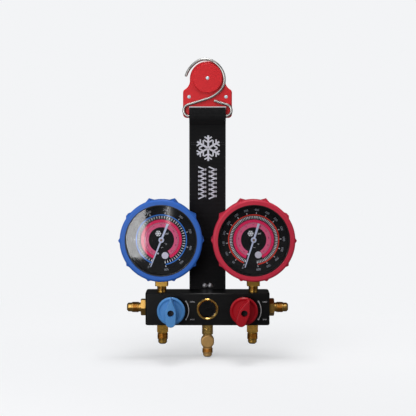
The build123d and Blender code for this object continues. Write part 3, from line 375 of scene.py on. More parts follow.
@dataclass(frozen=True)
class Printed(Finish):
    """Ink that is slightly darker where it is thin.

    Attributes:
        thin: brightness of the thinnest ink.
    """

    thin: float = 0.9

    def build(self) -> bpy.types.Material:
        """Makes the material."""
        graph = Graph.named(self.name)
        cloud = graph.noise(graph.place(), 2.0, 2.0)
        worn = tuple(c * self.thin for c in self.color)
        return graph.close(
            graph.shader(
                Base_Color=graph.blend(cloud, worn, self.color),
                Roughness=self.roughness,
                Specular_IOR_Level=self.gloss,
            )
        )


class Ink(Enum):
    """The print colours of the dials, the block and the strap."""

    WHITE = "#ffffff"
    GREY = "#cfced2"
    DIM = "#b4b7be"
    PINK = "#f4678f"
    ROSE = "#c58a9a"
    CRIMSON = "#ff2c66"
    BLUE = "#3f8df0"
    RED = "#ff4636"
    BLACK = "#0c0c0d"
    THREAD_WHITE = "#d6d6e0"
    THREAD_GREY = "#3a3a3d"


NODE_FINISHES: dict[str, Finish] = {
    "hanger_plate": Finish(
        "hanger red", from_hex("d8232b"), 0.42, coat=0.1, mottle=0.06, relief=0.01, gloss=0.3
    ),
    "hanger_back": Finish("hanger dark red", from_hex("a5161d"), 0.45, mottle=0.08, relief=0.01),
    "magnet_cup": Turned("cup steel", (0.55, 0.56, 0.58), 0.32, 1.0, relief=0.004, along="Y"),
    "magnet": Finish("ferrite", (0.035, 0.035, 0.038), 0.7, mottle=0.3, grain=1.5, relief=0.03),
    "hanger_rivets": Finish("rivet steel", (0.62, 0.80, 0.86), 0.35, 0.1, coat=0.3, mottle=0.05),
    "hook": Finish("hook wire", (0.5, 0.49, 0.47), 0.34, 1.0, mottle=0.1, grain=3.0, relief=0.003),
    "strap_bracket": Finish("bracket steel", (0.45, 0.46, 0.48), 0.38, 1.0, mottle=0.15, relief=0.006),
    "strap_rivets": Finish("foot rivets", (0.36, 0.36, 0.38), 0.5, 1.0, mottle=0.06),
    "strap_screws": Finish("foot screws", (0.5, 0.51, 0.53), 0.3, 1.0, mottle=0.08),
    "block": Finish(
        "black anodising", (0.004, 0.004, 0.0043), 0.34, mottle=0.25, relief=0.004, gloss=0.22
    ),
    "sight_ring": Turned("sight ring brass", from_hex("e0b768"), 0.2, 1.0, relief=0.003, along="Y"),
    "sight_glass": Clear("sight glass", (0.35, 0.37, 0.42)),
    "sight_seal": Finish("seal rubber", (0.012, 0.012, 0.012), 0.6, mottle=0.2),
    "sight_backing": Finish("sight backing", (0.022, 0.023, 0.027), 0.5, mottle=0.3, grain=3.0),
}
BRASS = from_hex("d9a850")
PALE_BRASS = from_hex("e3b968")
PORT_FINISHES: dict[str, Finish] = {
    "side_ports": Turned(
        "side port brass", from_hex("c49a54"), 0.34, 1.0, mottle=0.08, relief=0.006, along="X"
    ),
    "lower_ports": Turned("lower port brass", BRASS, 0.24, 1.0, mottle=0.1, relief=0.006),
    "centre_neck": Turned("neck brass", PALE_BRASS, 0.24, 1.0, mottle=0.1, relief=0.006),
    "centre_body": Finish(
        "forged brass", from_hex("c89e62"), 0.5, 0.6, mottle=0.16, grain=2.5, relief=0.02
    ),
}


def gauge_finishes(side: str, boot: str, knob: str) -> dict[str, Finish]:
    """Finishes of one gauge's and one valve's nodes.

    Args:
        side: low or high.
        boot: sRGB code of the boot.
        knob: sRGB code of the knob.

    Returns:
        A finish for each node's name.
    """
    brass = Finish(f"{side} movement brass", BRASS, 0.3, 1.0, mottle=0.1, relief=0.004)
    named: dict[str, Finish] = {
        "boot": Finish(f"{side} boot rubber", from_hex(boot), 0.46, mottle=0.07, relief=0.012, gloss=0.3),
        "case": Finish(f"{side} case", (0.01, 0.01, 0.011), 0.45, relief=0.006),
        "bezel": Finish(f"{side} bezel", (0.006, 0.006, 0.007), 0.35, coat=0.2),
        "gasket": NODE_FINISHES["sight_seal"],
        "lens": Clear(f"{side} lens", (0.97, 0.98, 1.0)),
        "dial": Finish(f"{side} dial", (0.0045, 0.0045, 0.005), 0.6, mottle=0.1, gloss=0.1),
        "dial_screws": Finish(f"{side} dial screws", (0.74, 0.70, 0.77), 0.45, 0.15),
        "pointer": Finish(f"{side} pointer", from_hex("d0d6ec"), 0.4, mottle=0.04),
        "bonnet": brass,
        "poppet": brass,
        "valve_seal": NODE_FINISHES["sight_seal"],
        "spindle": Finish(f"{side} spindle", (0.5, 0.5, 0.52), 0.3, 1.0),
        "knob": Finish(
            f"{side} knob", from_hex(knob), 0.42, coat=0.04, mottle=0.05, relief=0.008, gloss=0.3
        ),
        "knob_screw": Finish(f"{side} knob screw", (0.03, 0.03, 0.033), 0.45, 0.8),
        "pinion": Finish(f"{side} pinion", from_hex("8d7766"), 0.4, 0.8),
    }
    for node in ("sector", "link", "bourdon_tube", "movement_frame", "socket"):
        named[node] = brass
    return {f"{side}_{node}": finish for node, finish in named.items()}


# ---------------------------------------------------------------- mesh kit
FACING_FRONT = Matrix.Rotation(math.pi / 2, 4, "X")
ARC_STEP = 4.0
ALMOST_ROUND = 359.9
CAP_SHARE = 0.7


def moved(x: float, y: float, z: float) -> Matrix:
    """Shift by these lengths."""
    return Matrix.Translation((x, y, z))


def spun(angle: float) -> Matrix:
    """Turn about the local Z axis, in degrees."""
    return Matrix.Rotation(math.radians(angle), 4, "Z")


def front_place(x: float, y: float, z: float) -> Matrix:
    """Frame whose local X is right, Y is up and Z comes towards the viewer."""
    return moved(x, y, z) @ FACING_FRONT


class Sketch:
    """A bmesh drawn in millimetres in a local frame and placed once."""

    def __init__(self) -> None:
        """Starts empty."""
        self.bm = bmesh.new()

    def band(self, radii: Pair, start: float, end: float, height: float) -> None:
        """A flat ring or part of one.

        Args:
            radii: inner and outer radius.
            start: first angle, in degrees counterclockwise from the right.
            end: last angle.
            height: local height of the face.
        """
        turn = Matrix.Rotation(math.radians(start), 3, "Z")
        ends = [self.bm.verts.new(turn @ Vector((r, 0, height))) for r in radii]
        edge = self.bm.edges.new(ends)
        sweep = abs(end - start)
        bmesh.ops.spin(
            self.bm,
            geom=[*ends, edge],
            cent=(0, 0, 0),
            axis=(0, 0, 1),
            angle=math.radians(end - start),
            steps=max(2, round(sweep / ARC_STEP)),
            use_merge=sweep > ALMOST_ROUND,
        )

    def bar(self, size: Pair, place: Matrix) -> None:
        """A flat rectangle, size along local X and Y, centred on the place."""
        scale = Matrix.Diagonal((size[0], size[1], 1, 1))
        bmesh.ops.create_grid(self.bm, x_segments=1, y_segments=1, size=0.5, matrix=place @ scale)

    def spoke(
        self, radii: Pair, widths: Pair, angle: float, height: float
    ) -> None:
        """A radial mark.

        Args:
            radii: where it starts and ends.
            widths: its width at each of those.
            angle: its angle, in degrees.
            height: local height of the face.
        """
        turn = spun(angle)
        ends = zip(radii, widths)
        corners = [Vector((r, side * w / 2, height)) for r, w in ends for side in (-1, 1)]
        verts = [self.bm.verts.new(turn @ corner) for corner in corners]
        bmesh.ops.contextual_create(self.bm, geom=verts)

    def disc(self, radius: float, place: Matrix, segments: int = 24) -> None:
        """A flat disc centred on the place."""
        bmesh.ops.create_circle(self.bm, cap_ends=True, segments=segments, radius=radius, matrix=place)

    def words(self, text: str, cap: float, place: Matrix) -> None:
        """Flat letters, centred on the place, whose capitals are this high."""
        curve = bpy.data.curves.new("letters", "FONT")
        curve.body, curve.size = text, cap / CAP_SHARE
        curve.align_x, curve.align_y = "CENTER", "CENTER"
        curve.resolution_u = 3
        holder = bpy.data.objects.new("letters", curve)
        mesh = bpy.data.meshes.new_from_object(holder)
        mesh.transform(place)
        self.bm.from_mesh(mesh)
        bpy.data.objects.remove(holder)
        bpy.data.curves.remove(curve)
        bpy.data.meshes.remove(mesh)

    def thicken(self, depth: float) -> None:
        """Gives flat faces a thickness."""
        bmesh.ops.remove_doubles(self.bm, verts=self.bm.verts[:], dist=0.0005)
        bmesh.ops.recalc_face_normals(self.bm, faces=self.bm.faces[:])
        bmesh.ops.solidify(self.bm, geom=self.bm.faces[:], thickness=depth)

    def place(
        self, name: str, matrix: Matrix, material: bpy.types.Material, smooth: bool = False
    ) -> Any:
        """Turns the sketch into an object at the origin, in metres.

        Args:
            name: the object's name.
            matrix: the local frame, in millimetres.
            material: its finish.
            smooth: whether faces are shaded smooth.

        Returns:
            The new object.
        """
        bmesh.ops.transform(self.bm, matrix=Matrix.Scale(MM, 4) @ matrix, verts=self.bm.verts[:])
        for face in self.bm.faces:
            face.smooth = smooth
        mesh = bpy.data.meshes.new(name)
        self.bm.to_mesh(mesh)
        self.bm.free()
        mesh.materials.append(material)
        made = bpy.data.objects.new(name, mesh)
        bpy.context.scene.collection.objects.link(made)
        return made


def settle(piece: Any, body: str) -> None:
    """Makes a piece ride on a body."""
    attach(piece, body)
    LOG.info("piece %s rides on %s", piece.name, body)


class Paints:
    """The print colours as materials, each made once."""

    def __init__(self) -> None:
        """Starts with none."""
        self.made: dict[Ink, bpy.types.Material] = {}

    def get(self, ink: Ink) -> bpy.types.Material:
        """The material of one ink."""
        if ink not in self.made:
            finish = Printed(f"ink {ink.name.lower()}", from_hex(ink.value[1:]), 0.6, gloss=0.15)
            self.made[ink] = finish.build()
        return self.made[ink]


# ---------------------------------------------------------------- dials
@dataclass
class DialPrint:
    """The print on one dial, in the gauge's own frame.

    Attributes:
        side: low or high.
        x: the gauge's place across.
        ring: colour of the outer thin ring.
        labels: numbers from the first to the last major mark.
        first: angle of the first major mark, in degrees counterclockwise from the right.
        last: angle of the last major mark.
        fine: fine marks from one major mark to the next.
        inner: small numbers of the inner scale.
        y: the gauge's axis in depth.
        z: its height.
        face: the dial's front, before y.
        layer: depth of one layer of print.
        ink_depth: thickness of the ink.
        sweep: first and last angle of the pink band and the pale scale line.
        crimson_sweep: those of the crimson band.
        outline_sweep: those of the outer thin ring.
        pink: radii of the pink band.
        line: radii of the pale scale line.
        crimson: radii of the crimson band.
        outline: radii of the outer thin ring.
        mark: radii of a white mark of the main scale.
        mark_widths: widths of a major mark and of a fine mark at those.
        tab: radii of a major mark's tab outside the ring.
        tab_width: its width.
        dark_mark: radii of a dark mark on the crimson band, major and fine.
        dark_width: its width.
        small_marks: radii and width of each dark mark by the pale line.
        small_steps: small marks to each small number.
        numbers_at: radius and height of the main numbers.
        inner_at: radius and height of the small numbers.
        inner_sweep: angle of the first small number, and how far the last is from it.
        units: each unit's name, height and place.
        crystal: place of the small snow crystal.
        arm: length and width of its arms.
        tip: width and length of the bar across an arm's end, and its distance out.
    """

    side: str
    x: float
    ring: Ink
    labels: Sequence[str]
    first: float
    last: float
    fine: int
    inner: Sequence[str]
    y: float = -29.9
    z: float = -175.0
    face: float = 7.3
    layer: float = 0.03
    ink_depth: float = 0.02
    sweep: Pair = (-60.0, 245.0)
    crimson_sweep: Pair = (-64.0, 247.0)
    outline_sweep: Pair = (-80.0, 247.0)
    pink: Pair = (13.8, 18.1)
    line: Pair = (18.1, 18.8)
    crimson: Pair = (18.8, 22.2)
    outline: Pair = (26.6, 27.7)
    mark: Pair = (22.9, 25.9)
    mark_widths: tuple[Pair, Pair] = ((0.3, 1.2), (0.25, 0.9))
    tab: Pair = (28.3, 30.0)
    tab_width: float = 0.6
    dark_mark: tuple[Pair, Pair] = ((20.9, 22.1), (21.4, 22.1))
    dark_width: float = 0.3
    small_marks: tuple[tuple[Pair, float], ...] = (((17.9, 18.7), 0.35), ((19.1, 19.9), 0.25))
    small_steps: int = 5
    numbers_at: Pair = (32.6, 2.3)
    inner_at: Pair = (16.4, 1.35)
    inner_sweep: Pair = (232.0, -280.0)
    units: tuple[tuple[str, float, float, float], ...] = (
        ("psi", 2.1, 6.2, 6.9),
        ("°C", 1.5, 4.8, -4.6),
        ("bar", 1.1, 0.9, -8.3),
    )
    crystal: Pair = (-3.4, 6.9)
    arm: Pair = (6.6, 0.8)
    tip: tuple[float, float, float] = (0.7, 2.4, 2.4)

    def _finish(self, sketch: Sketch, name: str, ink: bpy.types.Material) -> None:
        """Places one print layer on the dial."""
        sketch.thicken(self.ink_depth)
        made = sketch.place(f"{self.side}_{name}", front_place(self.x, self.y, self.z), ink)
        settle(made, "manifold")

    def bands(self, paints: Paints) -> None:
        """The coloured bands and fine scale lines."""
        rows: list[tuple[str, Ink, Pair, Pair]] = [
            ("pink_band", Ink.PINK, self.pink, self.sweep),
            ("scale_line", Ink.ROSE, self.line, self.sweep),
            ("crimson_band", Ink.CRIMSON, self.crimson, self.crimson_sweep),
            ("colour_ring", self.ring, self.outline, self.outline_sweep),
        ]
        for name, ink, radii, sweep in rows:
            sketch = Sketch()
            sketch.band(radii, *sweep, self.face + self.layer)
            self._finish(sketch, name, paints.get(ink))

    def marks(self, paints: Paints) -> None:
        """White marks of the main scale and dark marks on the coloured bands."""
        count = (len(self.labels) - 1) * self.fine
        step = (self.last - self.first) / count
        height = self.face + 2 * self.layer
        white, dark = Sketch(), Sketch()
        for n in range(count + 1):
            angle = self.first + n * step
            kind = 1 if n % self.fine else 0
            white.spoke(self.mark, self.mark_widths[kind], angle, height)
            if kind == 0:
                white.spoke(self.tab, (self.tab_width,) * 2, angle, height)
            dark.spoke(self.dark_mark[kind], (self.dark_width,) * 2, angle, height)
        steps = len(self.inner) * self.small_steps
        for n in range(steps + 1):
            angle = self.first + n * ((self.last - self.first) / steps)
            if self.sweep[0] + 2 <= angle <= self.sweep[1] - 2:
                for radii, width in self.small_marks:
                    dark.spoke(radii, (width, width), angle, height)
        self._finish(white, "marks", paints.get(Ink.WHITE))
        self._finish(dark, "dark_marks", paints.get(Ink.BLACK))

    def numbers(self, paints: Paints) -> None:
        """Numbers outside the main scale, small ones on the pink band, units and a snow crystal."""
        outer, inner, centre = Sketch(), Sketch(), Sketch()
        height = self.face + 2 * self.layer
        for n, label in enumerate(self.labels):
            angle = self.first + (self.last - self.first) * n / (len(self.labels) - 1)
            radius, cap = self.numbers_at
            outer.words(label, cap, self._radial(radius, angle, height))
        for n, label in enumerate(self.inner):
            angle = self.inner_sweep[0] + self.inner_sweep[1] * n / (len(self.inner) - 1)
            radius, cap = self.inner_at
            inner.words(label, cap, self._radial(radius, angle, height))
        for unit, cap, across, up in self.units:
            centre.words(unit, cap, moved(across, up, height))
        for arm in range(3):
            turn = moved(*self.crystal, height) @ spun(60 * arm)
            centre.bar(self.arm, turn)
            for reach in (-self.tip[2], self.tip[2]):
                centre.bar(self.tip[:2], turn @ moved(reach, 0, 0))
        self._finish(outer, "numbers", paints.get(Ink.DIM))
        self._finish(inner, "inner_numbers", paints.get(Ink.BLACK))
        self._finish(centre, "unit", paints.get(Ink.WHITE))

    @staticmethod
    def _radial(radius: float, angle: float, height: float) -> Matrix:
        """Place on a circle whose local Y points outwards."""
        return spun(angle - 90) @ moved(0, radius, height)

    def build(self, paints: Paints) -> None:
        """Prints the whole dial."""
        self.bands(paints)
        self.marks(paints)
        self.numbers(paints)


# ---------------------------------------------------------------- block prints
@dataclass
class BlockPrint:
    """The turning arc and the two words beside each knob.

    Attributes:
        y: the block's front.
        middle: height of the arcs' centres.
        centres: where those are across.
        radius: radius of an arc.
        spread: half of its angle, in degrees.
        line: its width.
        dot: radius of the dot at each end.
        layer: height of the print.
        cap: height of the letters.
        words: each word with its place from the centre.
    """

    y: float = -45.9
    middle: float = -250.8
    centres: Pair = (-38.4, 39.9)
    radius: float = 18.1
    spread: float = 33.0
    line: float = 0.8
    dot: float = 0.85
    layer: float = 0.03
    cap: float = 1.35
    words: tuple[tuple[str, float, float], ...] = (("OPEN", 22.0, 9.2), ("SHUT", 22.0, -10.0))

    def build(self, paints: Paints) -> None:
        """Prints both arcs and their words."""
        sketch = Sketch()
        radii = (self.radius - self.line / 2, self.radius + self.line / 2)
        for centre in self.centres:
            turned = Sketch()
            turned.band(radii, -self.spread, self.spread, self.layer)
            for end in (-1, 1):
                tip = math.radians(end * self.spread)
                across, up = self.radius * math.cos(tip), self.radius * math.sin(tip)
                turned.disc(self.dot, moved(across, up, self.layer), 16)
            for word, across, up in self.words:
                turned.words(word, self.cap, moved(across, up, self.layer))
            bmesh.ops.translate(turned.bm, verts=turned.bm.verts[:], vec=(centre, 0, 0))
            carrier = bpy.data.meshes.new("carrier")
            turned.bm.to_mesh(carrier)
            turned.bm.free()
            sketch.bm.from_mesh(carrier)
            bpy.data.meshes.remove(carrier)
        sketch.thicken(0.02)
        grey = paints.get(Ink.GREY)
        made = sketch.place("turning_arrows", front_place(0, self.y, self.middle), grey)
        settle(made, "manifold")


# ---------------------------------------------------------------- threads
@dataclass
class FlareThread:
    """One helical thread wound proud of a port's plain barrel.

    Attributes:
        name: the piece's name.
        place: frame whose local Z runs outwards along the port, in millimetres.
        start: where the thread begins.
        length: its length.
        crest: radius over the ridges.
        root: radius of the valleys, just under the barrel's surface.
        pitch: from one ridge to the next.
        flat: where a ridge's flat crest begins and ends, as shares of the pitch.
        steps: faces round one turn.
    """

    name: str
    place: Matrix
    start: float
    length: float
    crest: float = 5.76
    root: float = 5.5
    pitch: float = 1.27
    flat: Pair = (0.42, 0.58)
    steps: int = 40

    def build(self, material: bpy.types.Material) -> None:
        """Winds the ridge and closes its ends."""
        sketch = Sketch()
        bm = sketch.bm
        ridges = int(self.length / self.pitch) - 1
        chain = []
        for n in range(ridges):
            low = self.start + n * self.pitch
            chain.append(bm.verts.new((self.root, 0, low)))
            for share in self.flat:
                chain.append(bm.verts.new((self.crest, 0, low + share * self.pitch)))
        chain.append(bm.verts.new((self.root, 0, self.start + ridges * self.pitch)))
        edges = [bm.edges.new(pair) for pair in zip(chain, chain[1:])]
        bmesh.ops.spin(
            bm,
            geom=[*chain, *edges],
            cent=(0, 0, 0),
            axis=(0, 0, 1),
            dvec=(0, 0, self.pitch / self.steps),
            angle=2 * math.pi,
            steps=self.steps,
            use_merge=False,
        )
        bmesh.ops.remove_doubles(bm, verts=bm.verts[:], dist=0.002)
        rims = [edge for edge in bm.edges if edge.is_boundary]
        bmesh.ops.holes_fill(bm, edges=rims, sides=0)
        bmesh.ops.recalc_face_normals(bm, faces=bm.faces[:])
        made = sketch.place(self.name, self.place, material)
        settle(made, "manifold")


@dataclass
class Ports:
    """The threads of the five flare ports and of the two gauges' stems.

    Attributes:
        half: half the block's width.
        y: the ports' place in depth.
        middle: height of the side ports.
        bottom: the block's underside.
        lower_x: the lower ports' place across.
        stem_x: the gauges' place across.
        stem_top: where the stems begin.
        side_run: start and length of a side port's thread.
        lower_run: start and length of a lower port's thread.
        centre_run: start and length of the centre port's thread.
        stem_run: start, length, crest, root and pitch of a stem's thread.
    """

    half: float = 67.3
    y: float = -29.9
    middle: float = -249.6
    bottom: float = -267.2
    lower_x: float = 49.2
    stem_x: float = 50.0
    stem_top: float = -225.8
    side_run: Pair = (7.9, 7.6)
    lower_run: Pair = (11.2, 6.9)
    centre_run: Pair = (27.8, 5.4)
    stem_run: tuple[float, ...] = (0.3, 5.7, 5.2, 4.85, 0.94)

    def build(self) -> None:
        """Winds all seven threads."""
        tooled = {"grain": 2.0, "relief": 0.004}
        # Both thread brasses are darker than the ports' brass: painted shade of the thread grooves, darker
        # still on the stems' pipe threads.
        flare = Turned("thread brass", from_hex("b9742a"), 0.3, 1.0, mottle=0.25, **tooled)
        pipe = Turned("pipe thread brass", from_hex("96642a"), 0.36, 1.0, mottle=0.3, **tooled)
        bright, dull = flare.build(), pipe.build()
        down = Matrix.Rotation(math.pi, 4, "X")
        for name, side in (("low", -1), ("high", 1)):
            out = Matrix.Rotation(side * math.pi / 2, 4, "Y")
            at = moved(side * self.half, self.y, self.middle) @ out
            FlareThread(f"{name}_side_thread", at, *self.side_run).build(bright)
            under = moved(side * self.lower_x, self.y, self.bottom) @ down
            FlareThread(f"{name}_lower_thread", under, *self.lower_run).build(bright)
            stem = moved(side * self.stem_x, self.y, self.stem_top) @ down
            FlareThread(f"{name}_stem_thread", stem, *self.stem_run).build(dull)
        under = moved(0, self.y, self.bottom) @ down
        FlareThread("centre_thread", under, *self.centre_run).build(bright)


# ---------------------------------------------------------------- strap
@dataclass
class Strap:
    """Webbing: a loop through the hanger's slot and round the hook, and the drop to the block.

    Attributes:
        width: width of the webbing.
        thick: its thickness.
        y: the drop's place in depth.
        loop: the loop's corners, as places in depth and height.
        loop_length: the loop's length laid flat; not used.
        corner: how far from a corner its rounding starts.
        top: the drop's upper end, in the loop's foot.
        foot: its lower end, under the bracket.
        bend: heights between which the drop would turn from the hanger's place to the block's; not used.
        columns: faces across the loop and across the drop.
        rows: faces down the drop.
        hem: width of the rounded edge.
        joint: height of the stitched joint.
        stitches: stitches in one row.
        stitch_pitch: from one stitch or row to the next.
        stitch: size of one stitch.
        mark: place of the snow crystal, across and up.
        arm: length and width of an arm, and its middle's distance out.
        branches: distance out and length of each pair of branches.
        branch_width: their width.
        rails: places of the two herringbone columns from there.
        rail_top: height of their first stitch from there.
        rail_pitch: from one stitch to the next.
        rail_count: stitches in one column.
        rail: size of one of those.
        rail_lean: how far it leans, in degrees.
        thread: height of the embroidery.
    """

    width: float = 40.0
    thick: float = 1.8
    y: float = -12.6
    loop: tuple[Pair, ...] = (
        (-12.6, -50.4),
        (-20.6, -44.0),
        (-20.6, -32.5),
        (-4.7, -32.5),
        (-4.7, -44.3),
    )
    loop_length: float = 58.5
    corner: float = 2.2
    top: float = -49.4
    foot: float = -264.8
    bend: Pair = (-51.0, -66.0)
    columns: tuple[int, int] = (12, 16)
    rows: int = 120
    hem: float = 0.35
    joint: float = -70.0
    stitches: int = 17
    stitch_pitch: float = 2.2
    stitch: Pair = (1.5, 0.45)
    mark: Pair = (0.77, -76.3)
    arm: tuple[float, float, float] = (13.6, 2.1, 7.2)
    branches: tuple[Pair, ...] = ((6.2, 5.6), (10.0, 4.6))
    branch_width: float = 1.5
    rails: Pair = (-6.6, 4.9)
    rail_top: float = -22.4
    rail_pitch: float = 2.42
    rail_count: int = 14
    rail: Pair = (9.4, 1.35)
    rail_lean: float = 24.0
    thread: float = 0.25

    def _strip(
        self, points: Iterable[Pair], closed: bool, name: str, columns: int
    ) -> Any:
        """A strip of cloth along a path in the YZ plane, with its UV map in metres.

        Args:
            points: the path's (y, z) points.
            closed: whether the path joins up.
            name: the piece's name.
            columns: faces across the strip.

        Returns:
            The new object.
        """
        sketch = Sketch()
        bm = sketch.bm
        half = self.width / 2
        chain = [bm.verts.new((-half, y, z)) for y, z in points]
        edges = [bm.edges.new(pair) for pair in zip(chain, chain[1:])]
        if closed:
            edges.append(bm.edges.new((chain[-1], chain[0])))
            bmesh.ops.bevel(
                bm,
                geom=chain,
                affect="VERTICES",
                offset=self.corner,
                offset_type="OFFSET",
                segments=4,
                profile=0.5,
                material=-1,
            )
            edges = bm.edges[:]
        for _ in range(columns):
            grown = bmesh.ops.extrude_edge_only(bm, edges=edges)["geom"]
            verts = [item for item in grown if isinstance(item, bmesh.types.BMVert)]
            bmesh.ops.translate(bm, verts=verts, vec=(self.width / columns, 0, 0))
            lines = [item for item in grown if isinstance(item, bmesh.types.BMEdge)]
            edges = [line for line in lines if all(vert in verts for vert in line.verts)]
        bmesh.ops.recalc_face_normals(bm, faces=bm.faces[:])
        cloth = bm.loops.layers.uv.new("cloth")
        for face in bm.faces:
            for corner in face.loops:
                spot = corner.vert.co
                corner[cloth].uv = (spot.x * MM, (spot.z - 0.6 * spot.y) * MM)
        made = sketch.place(name, Matrix.Identity(4), Webbing().build(), smooth=True)
        wall = made.modifiers.new("thickness", "SOLIDIFY")
        wall.thickness, wall.offset = self.thick * MM, 0.0
        edge = made.modifiers.new("edge", "BEVEL")
        edge.width, edge.segments, edge.limit_method = self.hem * MM, 2, "ANGLE"
        return made

    def build(self, paints: Paints) -> None:
        """Makes the loop, the drop, the stitched joint and the embroidery."""
        loop = self._strip(self.loop, True, "webbing_loop", self.columns[0])
        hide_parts("strap_loop")
        settle(loop, "hanger")
        fall = self.foot - self.top
        drop = [(self.y, self.top + fall * n / self.rows) for n in range(self.rows + 1)]
        strap = self._strip(drop, False, "webbing_strap", self.columns[1])
        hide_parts("strap_webbing")
        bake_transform(strap)
        self._stitches(paints)
        self._embroidery(paints)

    def _stitches(self, paints: Paints) -> None:
        """Two rows of stitches across the sewn joint."""
        sketch = Sketch()
        lean = spun(8)
        for row in (0, 1):
            for n in range(self.stitches):
                across = self.stitch_pitch * (n - (self.stitches - 1) / 2) + 0.5 * row
                place = moved(across, -self.stitch_pitch * row, 0)
                sketch.bar(self.stitch, place @ lean)
        sketch.thicken(0.12)
        front = front_place(0, self.y - self.thick / 2 - 0.02, self.joint)
        made = sketch.place("sewn_joint", front, paints.get(Ink.THREAD_GREY))
        settle(made, "manifold")

    def _embroidery(self, paints: Paints) -> None:
        """A six-armed snow crystal and two herringbone columns below it."""
        sketch = Sketch()
        for arm in range(6):
            turn = spun(60 * arm + 90)
            sketch.bar(self.arm[:2], turn @ moved(self.arm[2], 0, 0))
            for reach, size in self.branches:
                for side in (-1, 1):
                    branch = moved(reach, 0, 0.02) @ spun(60 * side)
                    place = turn @ branch @ moved(size / 2, 0, 0)
                    sketch.bar((size, self.branch_width), place)
        for across in self.rails:
            for n in range(self.rail_count):
                lean = spun(self.rail_lean if n % 2 else -self.rail_lean)
                up = self.rail_top - self.rail_pitch * n
                sketch.bar(self.rail, moved(across, up, 0) @ lean)
        sketch.thicken(self.thread)
        front = front_place(self.mark[0], self.y - self.thick / 2 - 0.05, self.mark[1])
        made = sketch.place("stitched_mark", front, paints.get(Ink.THREAD_WHITE))
        settle(made, "manifold")


# ---------------------------------------------------------------- studio
@dataclass(frozen=True)
class Panel:
    """One soft box that faces a point.

    Attributes:
        name: the lamp's name.
        place: its place.
        aim: the point it faces.
        size: its width and height.
        glow: radiance of its face.
    """

    name: str
    place: tuple[float, float, float]
    aim: tuple[float, float, float]
    size: Pair
    glow: float

    def build(self) -> None:
        """Hangs the lamp."""
        data = bpy.data.lights.new(self.name, "AREA")
        data.shape = "RECTANGLE"
        data.size, data.size_y = self.size[0] * MM, self.size[1] * MM
        data.energy = self.glow * math.pi * data.size * data.size_y
        lamp = bpy.data.objects.new(self.name, data)
        lamp.location = Vector(self.place) * MM
        facing = Vector(self.aim) - Vector(self.place)
        lamp.rotation_euler = facing.to_track_quat("-Z", "Y").to_euler()
        lamp.visible_camera = False
        bpy.context.scene.collection.objects.link(lamp)


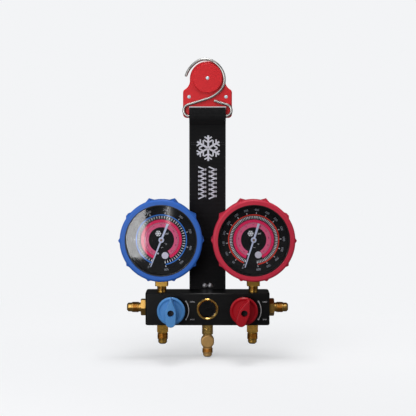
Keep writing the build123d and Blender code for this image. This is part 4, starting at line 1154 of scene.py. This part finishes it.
@dataclass
class Studio:
    """Pale floor and sky, soft boxes and the camera.

    The lamps light the floor round the object, and its own glow makes up the rest, so that it is
    as pale as the sky but still takes a soft shadow. Both are pale only to the camera.

    Attributes:
        floor: height of the floor.
        eye: the camera's place.
        pitch: how far the camera looks down, in degrees.
        lens: focal length on a 36 mm sensor.
        sky: colour behind everything.
        glow: share of the floor's brightness that is its own, by share of the reach.
        reach: distance from the heart at which the shares end, in metres.
        heart: where on the floor its own share is least, in metres.
        pool: how far from the middle the lamps still light the floor, in metres.
        bounce: colour of the floor as the object's surfaces see it.
        dusk: light of the dim room round the object.
        panels: the soft boxes.
    """

    floor: float = -305.5
    eye: tuple[float, float, float] = (0.54, -1285.16, -44.36)
    pitch: float = 4.4
    lens: float = 100.16
    sky: Color = (0.896, 0.905, 0.921)
    glow: tuple[Pair, ...] = (
        *((0.060, 0.219), (0.102, 0.355), (0.127, 0.425), (0.171, 0.540), (0.242, 0.644)),
        *((0.338, 0.764), (0.446, 0.846), (0.591, 0.911), (0.829, 0.948), (1.000, 0.962)),
    )
    reach: float = 4.0
    heart: Pair = (-0.2, -0.5)
    pool: Pair = (0.32, 0.56)
    bounce: Color = (0.14, 0.14, 0.14)
    dusk: float = 0.05
    panels: tuple[Panel, ...] = (
        Panel("key_left", (-297, -600, -111), (-297, 0, -111), (400, 300), 5.0),
        Panel("strip_left", (-85, -1295, -252), (-85, 0, -252), (5, 42), 7.0),
        Panel("top_front", (-150, -900, 1000), (0, -30, -150), (1500, 900), 2.0),
        Panel("overhead", (0, -60, 1100), (0, -60, 0), (500, 500), 10.0),
        Panel("side_right", (1150, -650, 100), (0, -30, -170), (700, 900), 1.3),
        Panel("side_left", (-1100, -500, 150), (0, -30, -170), (800, 900), 1.1),
    )

    def backdrop(self) -> None:
        """A wide pale floor."""
        black = (0.0, 0.0, 0.0)
        sketch = Sketch()
        bmesh.ops.create_grid(sketch.bm, x_segments=2, y_segments=2, size=60000)
        graph = Graph.named("backdrop paper")
        place = graph.place()
        cloud = graph.noise(place, 900.0)
        ends = {0: place, 1: (*self.heart, 0.0)}
        reach = graph.node("ShaderNodeVectorMath", {"operation": "DISTANCE"}, ends, "Value")
        fade = {"stops": [(far, tuple(c * share for c in self.sky)) for far, share in self.glow]}
        glow = graph.node("ShaderNodeValToRGB", fade, {0: reach * (1 / self.reach)})
        ray = graph.node("ShaderNodeLightPath", {}, {}, "Is Camera Ray")
        span = graph.node("ShaderNodeVectorMath", {"operation": "LENGTH"}, {0: place}, "Value")
        fall = {0: span, 1: self.pool[0], 2: self.pool[1], 3: 1.0, 4: 0.0}
        lit = graph.node("ShaderNodeMapRange", {}, fall)
        sheet = graph.blend(cloud, (0.545, 0.55, 0.56), (0.555, 0.56, 0.57))
        paper = graph.shader(
            Base_Color=graph.blend(ray, self.bounce, graph.blend(lit, black, sheet)),
            Roughness=1.0,
            Emission_Color=graph.blend(ray, black, graph.blend(lit, self.sky, glow)),
            Emission_Strength=1.0,
            Specular_IOR_Level=0.0,
        )
        sketch.place("studio_floor", moved(0, 0, self.floor), graph.close(paper))

    def skylight(self) -> None:
        """A pale sky in a dim room."""
        graph = Graph(bpy.data.worlds.new("studio"))
        ray = graph.node("ShaderNodeLightPath", {}, {}, "Is Camera Ray")
        seen = graph.blend(ray, (self.dusk,) * 3, self.sky)
        light = graph.node("ShaderNodeBackground", {}, {"Color": seen, "Strength": 1.0})
        bpy.context.scene.world = graph.close(light, "ShaderNodeOutputWorld")

    def camera(self) -> None:
        """Sets the camera."""
        data = bpy.data.cameras.new("camera")
        data.lens, data.sensor_width = self.lens, 36.0
        data.clip_start, data.clip_end = 0.05, 200.0
        camera = bpy.data.objects.new("camera", data)
        camera.location = Vector(self.eye) * MM
        camera.rotation_euler = (math.radians(90 - self.pitch), 0, 0)
        bpy.context.scene.collection.objects.link(camera)
        bpy.context.scene.camera = camera

    def build(self) -> None:
        """Sets up floor, sky, soft boxes and camera."""
        self.camera()
        self.backdrop()
        self.skylight()
        for panel in self.panels:
            panel.build()
        bpy.context.scene.view_settings.view_transform = "Standard"


# ---------------------------------------------------------------- dressing
def dress(nodes: dict[str, Any], finishes: dict[str, Finish]) -> None:
    """Gives each CAD node its own finish, building each finish once."""
    built: dict[str, bpy.types.Material] = {}
    for node, finish in finishes.items():
        if finish.name not in built:
            built[finish.name] = finish.build()
        for slot in nodes[node].material_slots:
            slot.link = "OBJECT"
            slot.material = built[finish.name]
    LOG.info("dressed %d nodes with %d finishes", len(finishes), len(built))


def main() -> None:
    """Loads the frame and builds everything on it."""
    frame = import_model()
    finishes = {**NODE_FINISHES, **PORT_FINISHES}
    finishes.update(gauge_finishes("low", "2a62bb", "4f8ac6"))
    finishes.update(gauge_finishes("high", "c32a42", "a5081a"))
    dress(frame["nodes"], finishes)
    paints = Paints()
    low_labels = [str(50 * n) for n in range(11)]
    high_labels = [str(50 * n) for n in range(17)]
    inner = [str(10 * n) for n in range(-4, 7)]
    DialPrint("low", -50.0, Ink.BLUE, low_labels, 244.5, -80.5, 5, inner).build(paints)
    DialPrint("high", 50.0, Ink.RED, high_labels, 249.0, -80.5, 5, inner).build(paints)
    BlockPrint().build(paints)
    Ports().build()
    Strap().build(paints)
    Studio().build()


if __name__ == "__main__":
    logging.basicConfig(level=logging.INFO)
    main()
